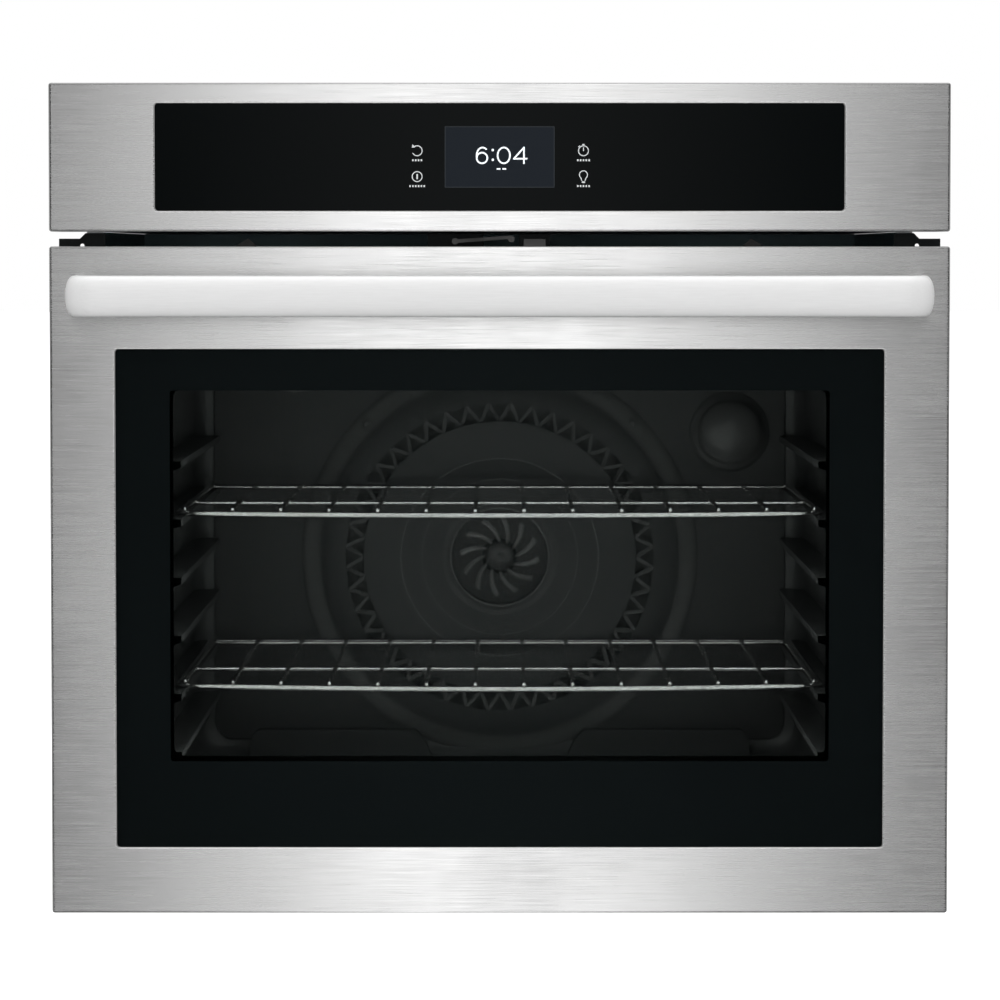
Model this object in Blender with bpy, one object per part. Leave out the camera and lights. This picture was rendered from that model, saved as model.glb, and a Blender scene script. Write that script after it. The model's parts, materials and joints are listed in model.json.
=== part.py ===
"""A 30-inch built-in electric wall oven with a drop-down door, two racks and a convection fan.

Run it with: blender --background --python part.py
Units are metres, +X is the oven's right as you face it, +Y points into the wall and +Z is up.
The origin is the bottom centre of the whole oven's box. The oven stands on its base pan.
"""

import math

import bmesh
import bpy
from mathutils import Matrix, Vector

MM = 0.001

# ---------------------------------------------------------------- driving dimensions
WIDTH = 762 * MM  # control panel and door
HEIGHT = 709 * MM  # base pan's underside to the control panel's top
DEPTH = 674 * MM  # front of the handle to the conduit bushing at the back

DOOR_BOTTOM = 4 * MM
DOOR_TOP = 571 * MM
PANEL_BOTTOM = 583.5 * MM
HANDLE_OUT = 54 * MM  # how far the handle stands in front of the door's face
DOOR_THICK = 44 * MM
SEAL_GAP = 4 * MM  # between the door's inner panel and the oven's front frame
BODY_HALF_W = 354 * MM
BODY_TOP = 688 * MM
CAVITY_HALF_W = 300 * MM
CAVITY_DEPTH = 480 * MM
CAVITY_FLOOR = 67.6 * MM
CAVITY_CEILING = 512 * MM

# ---------------------------------------------------------------- places that follow from them
HALF_W = WIDTH / 2
FRONT_Y = -DEPTH / 2  # front of the handle
BACK_Y = DEPTH / 2
FACE_Y = FRONT_Y + HANDLE_OUT  # outer face of the door and of the control panel
LINER_Y = FACE_Y + DOOR_THICK  # inner face of the door
FRAME_Y = LINER_Y + SEAL_GAP  # front of the enamelled frame round the cavity's mouth
SHEET = 1.5 * MM
FRAME_BACK_Y = FRAME_Y + SHEET  # the side trims' rear face, which meets the cabinet
BODY_BACK_Y = BACK_Y - 7 * MM
CAVITY_BACK_Y = FRAME_Y + CAVITY_DEPTH
GAP = 0.3 * MM  # between pieces that touch on the real oven

HINGE_Y = LINER_Y - 8 * MM
HINGE_Z = DOOR_BOTTOM + 9 * MM
HINGE_X = 336 * MM

WINDOW_HALF_W = 325.5 * MM  # the opening in the door's steel skin
WINDOW_LOW = 60.4 * MM
WINDOW_HIGH = 484.1 * MM
SIGHT_HALF_W = 280 * MM  # the clear area inside the glass's black border
SIGHT_LOW = 133 * MM
SIGHT_HIGH = 449 * MM

PANEL_GLASS_HALF_W = 291.3 * MM
PANEL_GLASS_LOW = 601.1 * MM
PANEL_GLASS_HIGH = 691.8 * MM
DISPLAY_HALF_W = 46.4 * MM
DISPLAY_LOW = 620.6 * MM
DISPLAY_HIGH = 672.3 * MM

HANDLE_Z = 529.3 * MM
HANDLE_HALF_L = 365 * MM
HANDLE_TALL = 34.5 * MM
HANDLE_DEEP = 15 * MM

LEDGE_PITCH = 50.2 * MM
LEDGE_COUNT = 6
LEDGE_FIRST = 138.8 * MM  # height of the lowest rack position
LEDGE_TIP = 274 * MM
RACK_LOWER_Z = LEDGE_FIRST + LEDGE_PITCH
RACK_UPPER_Z = LEDGE_FIRST + 4 * LEDGE_PITCH
RACK_HALF_W = 283 * MM
RACK_FRONT_Y = FACE_Y + 90 * MM  # at the rack's sides; the middle bows forward
RACK_BOW = 28 * MM
RACK_DEPTH = 398 * MM
RACK_WIRES = 14
RACK_WIRE_HALF_SPAN = 274 * MM
RACK_THICK = 6 * MM

FAN_Z = 268.6 * MM
FAN_COVER_R = 194 * MM
FAN_MOUTH_R = 47 * MM
FAN_R = 75 * MM
LAMP = (225 * MM, 390 * MM)  # x and z on the cavity's back wall
PROBE = (-200 * MM, 440 * MM)


FRAME_TOP = 566 * MM
DUCT_FLOOR = 553.5 * MM
DECK_Z = 584 * MM  # underside of the deck that carries the electronics
LATCH_X = -38 * MM
LATCH_Y = LINER_Y - 11 * MM
LATCH_Z = 575.4 * MM
SWITCH_X = 30 * MM
BLOWER_Y = 240 * MM
BLOWER_Z = 632 * MM
CONDUIT = (265 * MM, 640 * MM)  # x and z of the supply cable's hole at the back

# ---------------------------------------------------------------- materials
FINISHES = {  # base colour, roughness, metallic
    "brushed_steel": ((0.62, 0.62, 0.63), 0.32, 1.0),
    "handle_steel": ((0.78, 0.78, 0.79), 0.28, 1.0),
    "galvanised_steel": ((0.55, 0.57, 0.58), 0.45, 1.0),
    "black_enamel": ((0.012, 0.013, 0.014), 0.25, 0.0),
    "black_paint": ((0.015, 0.015, 0.016), 0.5, 0.0),
    "black_glass": ((0.005, 0.006, 0.007), 0.05, 0.0),
    "clear_glass": ((0.6, 0.65, 0.63), 0.05, 0.0),
    "chrome_wire": ((0.75, 0.75, 0.76), 0.15, 1.0),
    "element_sheath": ((0.1, 0.1, 0.1), 0.55, 0.8),
    "insulation": ((0.72, 0.66, 0.48), 0.95, 0.0),
    "gasket_braid": ((0.2, 0.2, 0.2), 0.85, 0.0),
    "circuit_board": ((0.03, 0.16, 0.07), 0.5, 0.0),
    "grey_plastic": ((0.35, 0.36, 0.37), 0.5, 0.0),
    "black_plastic": ((0.03, 0.03, 0.03), 0.45, 0.0),
    "motor_steel": ((0.42, 0.43, 0.44), 0.4, 1.0),
    "lamp_white": ((0.85, 0.83, 0.75), 0.3, 0.0),
    "screen": ((0.02, 0.022, 0.03), 0.2, 0.0),
}


def material(name):
    found = bpy.data.materials.get(name)
    if found:
        return found
    colour, roughness, metallic = FINISHES[name]
    made = bpy.data.materials.new(name)
    made.use_nodes = True
    shader = made.node_tree.nodes["Principled BSDF"]
    shader.inputs["Base Color"].default_value = (*colour, 1)
    shader.inputs["Roughness"].default_value = roughness
    shader.inputs["Metallic"].default_value = metallic
    return made


# ---------------------------------------------------------------- modelling helpers
def clear_scene():
    for obj in list(bpy.data.objects):
        bpy.data.objects.remove(obj)


def point(axis, a, b, along):
    """A place from two coordinates across an axis, in the order x, y, z, and one along it."""
    return {"X": Vector((along, a, b)), "Y": Vector((a, along, b)), "Z": Vector((a, b, along))}[axis]


def add_object(name, bm, finish, smooth=False):
    bmesh.ops.recalc_face_normals(bm, faces=bm.faces)
    mesh = bpy.data.meshes.new(name)
    bm.to_mesh(mesh)
    bm.free()
    if smooth:
        mesh.shade_smooth()
        mesh.set_sharp_from_angle(angle=math.radians(35))
    obj = bpy.data.objects.new(name, mesh)
    obj.data.materials.append(material(finish))
    bpy.context.scene.collection.objects.link(obj)
    return obj


def hide_helper(obj):
    obj.hide_render = True
    obj.display_type = "WIRE"


def boolean(obj, other, operation):
    """Cuts other from obj, or joins it on. The other object becomes a hidden helper."""
    modifier = obj.modifiers.new(f"{operation}_{other.name}", "BOOLEAN")
    modifier.operation = operation
    modifier.object = other
    hide_helper(other)
    return obj


def rectangle(a0, a1, b0, b1):
    return [(a0, b0), (a1, b0), (a1, b1), (a0, b1)]


def rounded_rectangle(a0, a1, b0, b1, radius, steps=3):
    corners = [(a1, b0, -90), (a1, b1, 0), (a0, b1, 90), (a0, b0, 180)]
    points = []
    for a, b, first in corners:
        centre_a = a - math.copysign(radius, a - (a0 + a1) / 2)
        centre_b = b - math.copysign(radius, b - (b0 + b1) / 2)
        for i in range(steps + 1):
            angle = math.radians(first + 90 * i / steps)
            points.append((centre_a + radius * math.cos(angle), centre_b + radius * math.sin(angle)))
    return points


def circle(centre_a, centre_b, radius, steps=16):
    turns = [2 * math.pi * i / steps for i in range(steps)]
    return [(centre_a + radius * math.cos(t), centre_b + radius * math.sin(t)) for t in turns]


def flat_faces(bm, axis, along, outline, holes=()):
    """Fills an outline, less its holes, in the plane across an axis. Returns the outline's own edges."""
    loops = []
    for loop in (outline, *holes):
        verts = [bm.verts.new(point(axis, a, b, along)) for a, b in loop]
        loops.append([bm.edges.new((verts[i - 1], verts[i])) for i in range(len(verts))])
    if holes:
        bmesh.ops.triangle_fill(bm, use_beauty=True, edges=[e for loop in loops for e in loop])
    else:
        bm.faces.new([e.verts[1] for e in loops[0]])
    return loops[0]


def plate(name, finish, axis, span, outline, holes=(), smooth=False):
    """A flat outline, less its holes, given a thickness along an axis."""
    bm = bmesh.new()
    flat_faces(bm, axis, span[0], outline, holes)
    made = bmesh.ops.extrude_face_region(bm, geom=list(bm.faces))
    moved = [v for v in made["geom"] if isinstance(v, bmesh.types.BMVert)]
    bmesh.ops.translate(bm, verts=moved, vec=point(axis, 0, 0, span[1] - span[0]))
    return add_object(name, bm, finish, smooth)


def block(name, finish, x, y, z):
    return plate(name, finish, "Z", z, rectangle(*x, *y))


def folded_pan(name, finish, axis, along, outline, depth, holes=(), folds=None):
    """A sheet-metal face with its edges folded along an axis by depth. Folds picks some of the edges."""
    bm = bmesh.new()
    rim = flat_faces(bm, axis, along, outline, holes)
    if folds:
        rim = [rim[i] for i in folds]
    made = bmesh.ops.extrude_edge_only(bm, edges=rim)
    moved = [v for v in made["geom"] if isinstance(v, bmesh.types.BMVert)]
    bmesh.ops.translate(bm, verts=moved, vec=point(axis, 0, 0, depth))
    obj = add_object(name, bm, finish)
    solidify = obj.modifiers.new("sheet", "SOLIDIFY")
    solidify.thickness = SHEET
    solidify.offset = -1
    solidify.use_even_offset = True
    return obj


def turned(name, finish, axis, centre, profile, steps=24):
    """Spins a closed profile of (radius, distance along the axis) points about an axis through centre."""
    bm = bmesh.new()
    direction = point(axis, 0, 0, 1)
    origin = point(axis, *centre, 0)
    verts = [bm.verts.new(point(axis, centre[0] + r, centre[1], along)) for r, along in profile]
    on_axis = [r < 1e-9 for r, _ in profile]
    edges = [
        bm.edges.new((verts[i - 1], verts[i]))
        for i in range(len(verts))
        if not (on_axis[i - 1] and on_axis[i])
    ]
    bmesh.ops.spin(
        bm, geom=edges, cent=origin, axis=direction, angle=2 * math.pi, steps=steps, use_duplicate=False
    )
    bmesh.ops.remove_doubles(bm, verts=bm.verts, dist=1e-6)
    return add_object(name, bm, finish, smooth=True)


def tube(name, finish, points, radius, resolution=2, closed=False):
    """A round wire or tube along points."""
    curve = bpy.data.curves.new(name, "CURVE")
    curve.dimensions = "3D"
    curve.bevel_depth = radius
    curve.bevel_resolution = resolution
    curve.use_fill_caps = True
    spline = curve.splines.new("POLY")
    spline.points.add(len(points) - 1)
    for target, place in zip(spline.points, points):
        target.co = (*place, 1)
    spline.use_cyclic_u = closed
    obj = bpy.data.objects.new(name, curve)
    curve.materials.append(material(finish))
    bpy.context.scene.collection.objects.link(obj)
    return obj


def rounded_path(corners, radius, steps=4):
    """Points along straight runs between corners, with each inner corner turned on an arc."""
    path = [Vector(corners[0])]
    for before, corner, after in zip(corners, corners[1:], corners[2:]):
        corner = Vector(corner)
        into = (corner - Vector(before)).normalized()
        out = (Vector(after) - corner).normalized()
        trim = radius * math.tan(into.angle(out) / 2)
        start, end = corner - into * trim, corner + out * trim
        centre = start + (out - into * into.dot(out)).normalized() * radius
        for i in range(steps + 1):
            share = i / steps
            chord = start.lerp(end, share) - centre
            path.append(centre + chord.normalized() * radius)
    path.append(Vector(corners[-1]))
    return path


def carry(axis_point, objects):
    """Parents objects to an empty that stands on their joint's axis, without moving them."""
    name, place = axis_point
    empty = bpy.data.objects.new(name, None)
    empty.location = place
    bpy.context.scene.collection.objects.link(empty)
    for obj in objects:
        obj.parent = empty
        obj.matrix_parent_inverse = Matrix.Translation(place).inverted()


# ---------------------------------------------------------------- body shell
def make_body_shell():
    lip = 14 * MM
    for side, word in ((-1, "left"), (1, "right")):
        inner, outer = (BODY_HALF_W - SHEET) * side, BODY_HALF_W * side
        lip_x = (BODY_HALF_W - lip) * side
        front, back = FRAME_BACK_Y + GAP, BODY_BACK_Y - SHEET - GAP
        outline = [
            (outer, front), (outer, back), (lip_x, back), (lip_x, back - SHEET),
            (inner, back - SHEET), (inner, front + SHEET), (lip_x, front + SHEET), (lip_x, front),
        ]
        plate(f"side_panel_{word}", "galvanised_steel", "Z", (2 * MM, DECK_Z - GAP), outline)
    upper = rectangle(-BODY_HALF_W, BODY_HALF_W, FRAME_Y + 1 * MM, BODY_BACK_Y - SHEET - GAP)
    slots = [
        rounded_rectangle(x - 32 * MM, x + 32 * MM, y - 3 * MM, y + 3 * MM, 2.9 * MM, 2)
        for x in (-210 * MM, 210 * MM)
        for y in (-60 * MM, -35 * MM, -10 * MM)
    ]
    left_and_right = (0, 2)
    drop = DECK_Z + 4 * MM - BODY_TOP
    folded_pan("top_cover", "galvanised_steel", "Z", BODY_TOP, upper, drop, slots, left_and_right)
    between_hinges = HINGE_X - 12 * MM
    lower = rectangle(-between_hinges, between_hinges, FRAME_BACK_Y + 2 * MM, BODY_BACK_Y - 2 * MM)
    folded_pan("base_pan", "galvanised_steel", "Z", 0, lower, 8 * MM)
    vents = [
        rounded_rectangle(x - 3 * MM, x + 3 * MM, 618 * MM, 662 * MM, 2.9 * MM, 2)
        for x in [(-250 + 25 * i) * MM for i in range(6)]
    ]
    conduit_hole = circle(*CONDUIT, 15 * MM)
    plate(
        "rear_cover", "galvanised_steel", "Y", (BODY_BACK_Y - SHEET, BODY_BACK_Y),
        rectangle(-BODY_HALF_W, BODY_HALF_W, 2 * MM, BODY_TOP), [*vents, conduit_hole],
    )


def make_control_deck():
    """The deck under the electronics, with the blower's outlet hole, and the air duct below it."""
    outlet = rectangle(-62 * MM, 62 * MM, BLOWER_Y - 30 * MM, BLOWER_Y - 6 * MM)
    plate(
        "control_deck", "galvanised_steel", "Z", (DECK_Z, DECK_Z + SHEET),
        rectangle(-BODY_HALF_W, BODY_HALF_W, FRAME_Y + 2 * MM, BODY_BACK_Y - SHEET - GAP), [outlet],
    )
    outer = BODY_HALF_W - SHEET - GAP
    inner, top, floor = outer - SHEET, DECK_Z - GAP, DUCT_FLOOR + SHEET
    channel = [
        (-outer, DUCT_FLOOR), (outer, DUCT_FLOOR), (outer, top), (inner, top),
        (inner, floor), (-inner, floor), (-inner, top), (-outer, top),
    ]
    back = CAVITY_BACK_Y + 41 * MM
    duct = plate("air_duct", "black_paint", "Y", (FRAME_Y + 4 * MM, back), channel)
    lap = 0.5 * MM  # the end wall runs a little into the channel's floor and sides
    end_wall = block(
        "duct_end", "black_paint", (-inner - lap, inner + lap), (back - 2 * SHEET, back - SHEET),
        (floor - lap, top - lap),
    )
    boolean(duct, end_wall, "UNION")


def make_front_frame():
    """The black enamelled frame round the cavity's mouth."""
    mouth = rounded_rectangle(-CAVITY_HALF_W, CAVITY_HALF_W, CAVITY_FLOOR, CAVITY_CEILING, 18 * MM)
    outline = rectangle(-BODY_HALF_W + 2 * MM, BODY_HALF_W - 2 * MM, 27 * MM, FRAME_TOP)
    plate("front_frame", "black_enamel", "Y", (FRAME_Y, FRAME_BACK_Y), outline, [mouth])


def make_side_trims():
    """The flanges that the mounting screws go through, mitred beside the air gap."""
    outer = 377.8 * MM
    inner = BODY_HALF_W - 2 * MM + GAP
    tab = BODY_HALF_W - 16 * MM  # above the front frame it reaches in, over the side panel's front lip
    low, notch, high = 20 * MM, 577.7 * MM, PANEL_BOTTOM - 1 * MM
    for side, word in ((-1, "left"), (1, "right")):
        outline = [
            (side * inner, low), (side * outer, low), (side * outer, notch), (side * 359.8 * MM, notch),
            (side * 355 * MM, high), (side * tab, high), (side * tab, FRAME_TOP + GAP),
            (side * inner, FRAME_TOP + GAP),
        ]
        holes = [circle(side * 357.8 * MM, z, 1.9 * MM, 12) for z in (571.6 * MM, 300 * MM, 60 * MM)]
        trim = plate(f"side_trim_{word}", "black_paint", "Y", (FRAME_Y, FRAME_BACK_Y), outline, holes)
        reach = [side * (BODY_HALF_W + GAP), side * (BODY_HALF_W + GAP + 1.2 * MM)]
        fold = block(
            f"side_trim_fold_{word}", "black_paint",
            sorted(reach), (FRAME_Y + 0.7 * MM, FRAME_Y + 26 * MM), (low + 2 * MM, notch - 20 * MM),
        )
        boolean(trim, fold, "UNION")


def make_gasket():
    """The braided seal round the cavity's mouth, as the closed door squeezes it."""
    margin, wide = 7 * MM, 9 * MM
    loops = [
        rounded_rectangle(
            -CAVITY_HALF_W - m, CAVITY_HALF_W + m, CAVITY_FLOOR - m, CAVITY_CEILING + m, 18 * MM + m
        )
        for m in (margin + wide, margin)
    ]
    plate("door_gasket", "gasket_braid", "Y", (LINER_Y + GAP, FRAME_Y - GAP), loops[0], [loops[1]])


# ---------------------------------------------------------------- cavity
def make_cavity():
    wall = 2 * MM
    front, back = FRAME_BACK_Y + GAP, CAVITY_BACK_Y
    low, high = CAVITY_FLOOR, CAVITY_CEILING
    for side, word in ((-1, "left"), (1, "right")):
        inner, tip, outer = side * CAVITY_HALF_W, side * LEDGE_TIP, side * (CAVITY_HALF_W + wall)
        outline = [(outer, low + GAP), (inner, low + GAP)]
        for i in range(LEDGE_COUNT):
            top = LEDGE_FIRST + i * LEDGE_PITCH - RACK_THICK / 2 - GAP
            outline += [(inner, top - 14 * MM), (tip, top - 6 * MM), (tip, top), (inner, top)]
        outline += [(inner, high - GAP), (outer, high - GAP)]
        plate(f"cavity_wall_{word}", "black_enamel", "Y", (front, back - GAP), outline)
    full = (-CAVITY_HALF_W - wall, CAVITY_HALF_W + wall)
    block("cavity_ceiling", "black_enamel", full, (front, back - GAP), (high, high + wall))
    floor = block("cavity_floor", "black_enamel", full, (front, back - GAP), (low - wall, low))
    boolean(floor, make_floor_step(low - wall / 2, back - GAP), "UNION")
    holes = [
        circle(0, FAN_Z, 11 * MM),
        circle(*LAMP, 29 * MM, 24),
        circle(*PROBE, 4 * MM, 12),
    ]
    plate(
        "cavity_back_wall", "black_enamel", "Y", (back, back + wall),
        rectangle(*full, low - wall, high + wall), holes,
    )


def make_floor_step(low, back):
    """The raised step across the floor panel in front of the fan cover, with a recess in its middle."""
    top = CAVITY_FLOOR + 34 * MM
    half, notch, dip = 245 * MM, 72 * MM, CAVITY_FLOOR + 5 * MM
    right = [
        (half, low), (half - 4 * MM, top - 6 * MM), (half - 10 * MM, top),
        (notch + 10 * MM, top), (notch + 2 * MM, top - 8 * MM), (notch - 8 * MM, dip),
    ]
    left = [(-x, z) for x, z in reversed(right)]
    step_back = back - 23 * MM
    return plate("floor_step", "black_enamel", "Y", (step_back - 20 * MM, step_back), right + left)


def make_insulation():
    outer, inner = BODY_HALF_W - 18 * MM, CAVITY_HALF_W + 4 * MM
    ring = rectangle(-outer, outer, 21 * MM, DUCT_FLOOR - 2 * MM)
    hollow = rectangle(-inner, inner, 42 * MM, CAVITY_CEILING + 4 * MM)
    plate("insulation_wrap", "insulation", "Y", (FRAME_Y + 80 * MM, CAVITY_BACK_Y), ring, [hollow])
    holes = [circle(0, FAN_Z, 12 * MM), circle(*LAMP, 33 * MM), circle(*PROBE, 6 * MM, 12)]
    plate(
        "insulation_back", "insulation", "Y", (CAVITY_BACK_Y + 3 * MM, CAVITY_BACK_Y + 40 * MM),
        rectangle(-outer, outer, 25 * MM, DUCT_FLOOR - 2 * MM), holes,
    )


def make_fan_cover():
    """The round cover over the convection fan, with stepped rings and an open mouth."""
    wall = 1.5 * MM
    outside = [  # radius and height above the back wall
        (FAN_COVER_R, 0.3), (FAN_COVER_R, 2), (188 * MM, 2.5), (174 * MM, 20), (152 * MM, 22),
        (98 * MM, 22), (95 * MM, 19), (77 * MM, 19), (74 * MM, 16), (56 * MM, 15),
        (FAN_MOUTH_R + 2 * MM, 18), (FAN_MOUTH_R, 18),
    ]
    skin = [(r, CAVITY_BACK_Y - h * MM) for r, h in outside]
    inside = [(r, y + wall) for r, y in reversed(skin[2:])]
    inside[-1] = (inside[-1][0] - 1 * MM, CAVITY_BACK_Y - 0.3 * MM)
    turned("fan_cover", "black_enamel", "Y", (0, FAN_Z), skin + inside, 32)


def make_convection_fan():
    """A stamped disc with vanes at its rim, on the shaft that comes from the motor."""
    plane = CAVITY_BACK_Y - 5 * MM
    profile = [
        (0, plane - 7 * MM), (10 * MM, plane - 7 * MM), (15.5 * MM, plane - 4 * MM),
        (17 * MM, plane - 1.2 * MM), (FAN_R, plane - 1.2 * MM), (FAN_R, plane), (8 * MM, plane),
        (4 * MM, plane + 1 * MM), (4 * MM, CAVITY_BACK_Y + 56 * MM), (0, CAVITY_BACK_Y + 56 * MM),
    ]
    fan = turned("convection_fan", "motor_steel", "Y", (0, FAN_Z), profile, 32)
    for i in range(8):
        turn = Matrix.Translation((0, 0, FAN_Z)) @ Matrix.Rotation(i * math.pi / 4, 4, "Y")
        vane = block(
            f"fan_vane_{i}", "motor_steel", (52 * MM, 74 * MM),
            (plane - 7.5 * MM, plane - 0.6 * MM), (-0.8 * MM, 0.8 * MM),
        )
        vane.matrix_world = turn
        boolean(fan, vane, "UNION")
    carry(("convection_fan_axis", (0, plane, FAN_Z)), [fan])
    start, reach = CAVITY_BACK_Y + 42 * MM, 38 * MM
    turned(
        "convection_motor", "motor_steel", "Y", (0, FAN_Z),
        [
            (4.4 * MM, start), (16 * MM, start), (18 * MM, start + 4 * MM), (38 * MM, start + 6 * MM),
            (38 * MM, start + reach), (0, start + reach), (0, start + 18 * MM), (4.4 * MM, start + 18 * MM),
        ],
    )


def make_elements():
    """The broil element under the ceiling and the bake element hidden below the floor."""
    z = CAVITY_CEILING - 20 * MM
    back, front, rear = CAVITY_BACK_Y - GAP, FRAME_Y + 70 * MM, CAVITY_BACK_Y - 60 * MM
    terminal, turn = 30 * MM, rear + 30 * MM
    reach = 235 * MM
    corners = [(-terminal, back, z), (-terminal, turn, z), (-reach, turn, z), (-reach, front, z)]
    for i in range(1, 7):
        x = reach * (2 * i / 7 - 1)
        ends = (front, rear) if i % 2 else (rear, front)
        corners += [(x, ends[0], z), (x, ends[1], z)]
    corners += [(reach, front, z), (reach, turn, z), (terminal, turn, z), (terminal, back, z)]
    tube("broil_element", "element_sheath", rounded_path(corners, 14 * MM, 3), 3.4 * MM, 1)
    z = 54 * MM
    corners = [
        (-25 * MM, back, z), (-25 * MM, 120 * MM, z), (-235 * MM, 120 * MM, z), (-235 * MM, -120 * MM, z),
        (-110 * MM, -120 * MM, z), (-110 * MM, 40 * MM, z), (110 * MM, 40 * MM, z), (110 * MM, -120 * MM, z),
        (235 * MM, -120 * MM, z), (235 * MM, 120 * MM, z), (25 * MM, 120 * MM, z), (25 * MM, back, z),
    ]
    tube("bake_element", "element_sheath", rounded_path(corners, 22 * MM, 3), 3.3 * MM, 1)


def make_lamp_and_probe():
    back = CAVITY_BACK_Y
    turned(
        "lamp_lens", "clear_glass", "Y", LAMP,
        [
            (36 * MM, back - GAP), (36 * MM, back - 3 * MM), (33 * MM, back - 5 * MM),
            (31 * MM, back - 16 * MM), (22 * MM, back - 22 * MM), (0, back - 24 * MM),
            (0, back - 21 * MM), (20 * MM, back - 19 * MM), (28 * MM, back - 14 * MM), (30 * MM, back - GAP),
        ],
    )
    rear = back + 2 * MM + GAP
    turned(
        "lamp_housing", "motor_steel", "Y", LAMP,
        [
            (26 * MM, rear), (32 * MM, rear), (32 * MM, rear + 1.5 * MM), (29 * MM, rear + 2 * MM),
            (29 * MM, rear + 42 * MM), (0, rear + 42 * MM), (0, rear + 39 * MM), (26 * MM, rear + 39 * MM),
        ],
    )
    tip = back - 17 * MM
    turned(
        "lamp_bulb", "lamp_white", "Y", LAMP,
        [
            (0, tip), (8 * MM, tip + 2 * MM), (14 * MM, tip + 12 * MM), (13 * MM, tip + 22 * MM),
            (8 * MM, tip + 34 * MM), (8 * MM, rear + 38 * MM), (0, rear + 38 * MM),
        ],
        16,
    )
    turned(
        "temperature_probe", "chrome_wire", "Y", PROBE,
        [
            (0, back - 90 * MM), (2.4 * MM, back - 88 * MM), (2.4 * MM, back - 2 * MM),
            (12 * MM, back - 2 * MM), (12 * MM, back - GAP), (3 * MM, back - GAP),
            (3 * MM, back + 36 * MM), (0, back + 36 * MM),
        ],
        12,
    )


def make_rack(name, height):
    """A flat grid: side rails, deck wires and three cross rails, with a front rail that bows forward."""
    rail, wire = RACK_THICK, 4.5 * MM
    xs = [-RACK_HALF_W, -RACK_HALF_W + rail]
    pitch = 2 * RACK_WIRE_HALF_SPAN / (RACK_WIRES - 1)
    for i in range(1, RACK_WIRES - 1):
        x = -RACK_WIRE_HALF_SPAN + i * pitch
        xs += [x - wire / 2, x + wire / 2]
    xs += [RACK_HALF_W - rail, RACK_HALF_W]
    mid = RACK_DEPTH * 0.33
    ys = [0, rail, mid, mid + rail, RACK_DEPTH - rail, RACK_DEPTH]
    bm = bmesh.new()

    def bowed(x, y):
        bow = RACK_BOW * (1 - (x / RACK_HALF_W) ** 2) * max(0, 1 - y / mid)
        return Vector((x, RACK_FRONT_Y + y - bow, height - RACK_THICK / 2))

    grid = [[bm.verts.new(bowed(x, y)) for y in ys] for x in xs]
    for i in range(len(xs) - 1):
        for j in range(len(ys) - 1):
            if i % 2 == 0 or j % 2 == 0:
                bm.faces.new((grid[i][j], grid[i + 1][j], grid[i + 1][j + 1], grid[i][j + 1]))
    made = bmesh.ops.extrude_face_region(bm, geom=list(bm.faces))
    moved = [v for v in made["geom"] if isinstance(v, bmesh.types.BMVert)]
    bmesh.ops.translate(bm, verts=moved, vec=(0, 0, RACK_THICK))
    rack = add_object(name, bm, "chrome_wire")
    carry((f"{name}_slide", (0, RACK_FRONT_Y, height)), [rack])


# ---------------------------------------------------------------- control panel and electronics
def make_control_panel():
    opening = rounded_rectangle(
        -PANEL_GLASS_HALF_W, PANEL_GLASS_HALF_W, PANEL_GLASS_LOW, PANEL_GLASS_HIGH, 3 * MM
    )
    folded_pan(
        "control_panel", "brushed_steel", "Y", FACE_Y,
        rounded_rectangle(-HALF_W, HALF_W, PANEL_BOTTOM, HEIGHT, 1.2 * MM, 2),
        FRAME_Y - FACE_Y, [opening],
    )
    lap = 6 * MM
    glass_front = FACE_Y + SHEET + GAP
    plate(
        "control_glass", "black_glass", "Y", (glass_front, glass_front + 3 * MM),
        rectangle(
            -PANEL_GLASS_HALF_W - lap, PANEL_GLASS_HALF_W + lap,
            PANEL_GLASS_LOW - lap, PANEL_GLASS_HIGH + lap,
        ),
    )
    behind = glass_front + 3 * MM + GAP
    block(
        "display_module", "screen", (-DISPLAY_HALF_W - 4 * MM, DISPLAY_HALF_W + 4 * MM),
        (behind, behind + 8 * MM), (DISPLAY_LOW - 4 * MM, DISPLAY_HIGH + 4 * MM),
    )
    board_y = behind + 8 * MM + GAP
    board = block(
        "control_board", "circuit_board", (-150 * MM, 150 * MM), (board_y, board_y + 1.6 * MM),
        (604 * MM, 690 * MM),
    )
    parts = ((-120, 40, 620, 640, 9), (-60, 26, 612, 640, 6), (30, 60, 610, 650, 12), (105, 30, 640, 680, 10))
    for i, (x, wide, low, high, deep) in enumerate(parts):
        chip = block(
            f"board_part_{i}", "circuit_board", (x * MM, (x + wide) * MM),
            (board_y + 0.8 * MM, board_y + 1.6 * MM + deep * MM), (low * MM, high * MM),
        )
        boolean(board, chip, "UNION")


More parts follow.
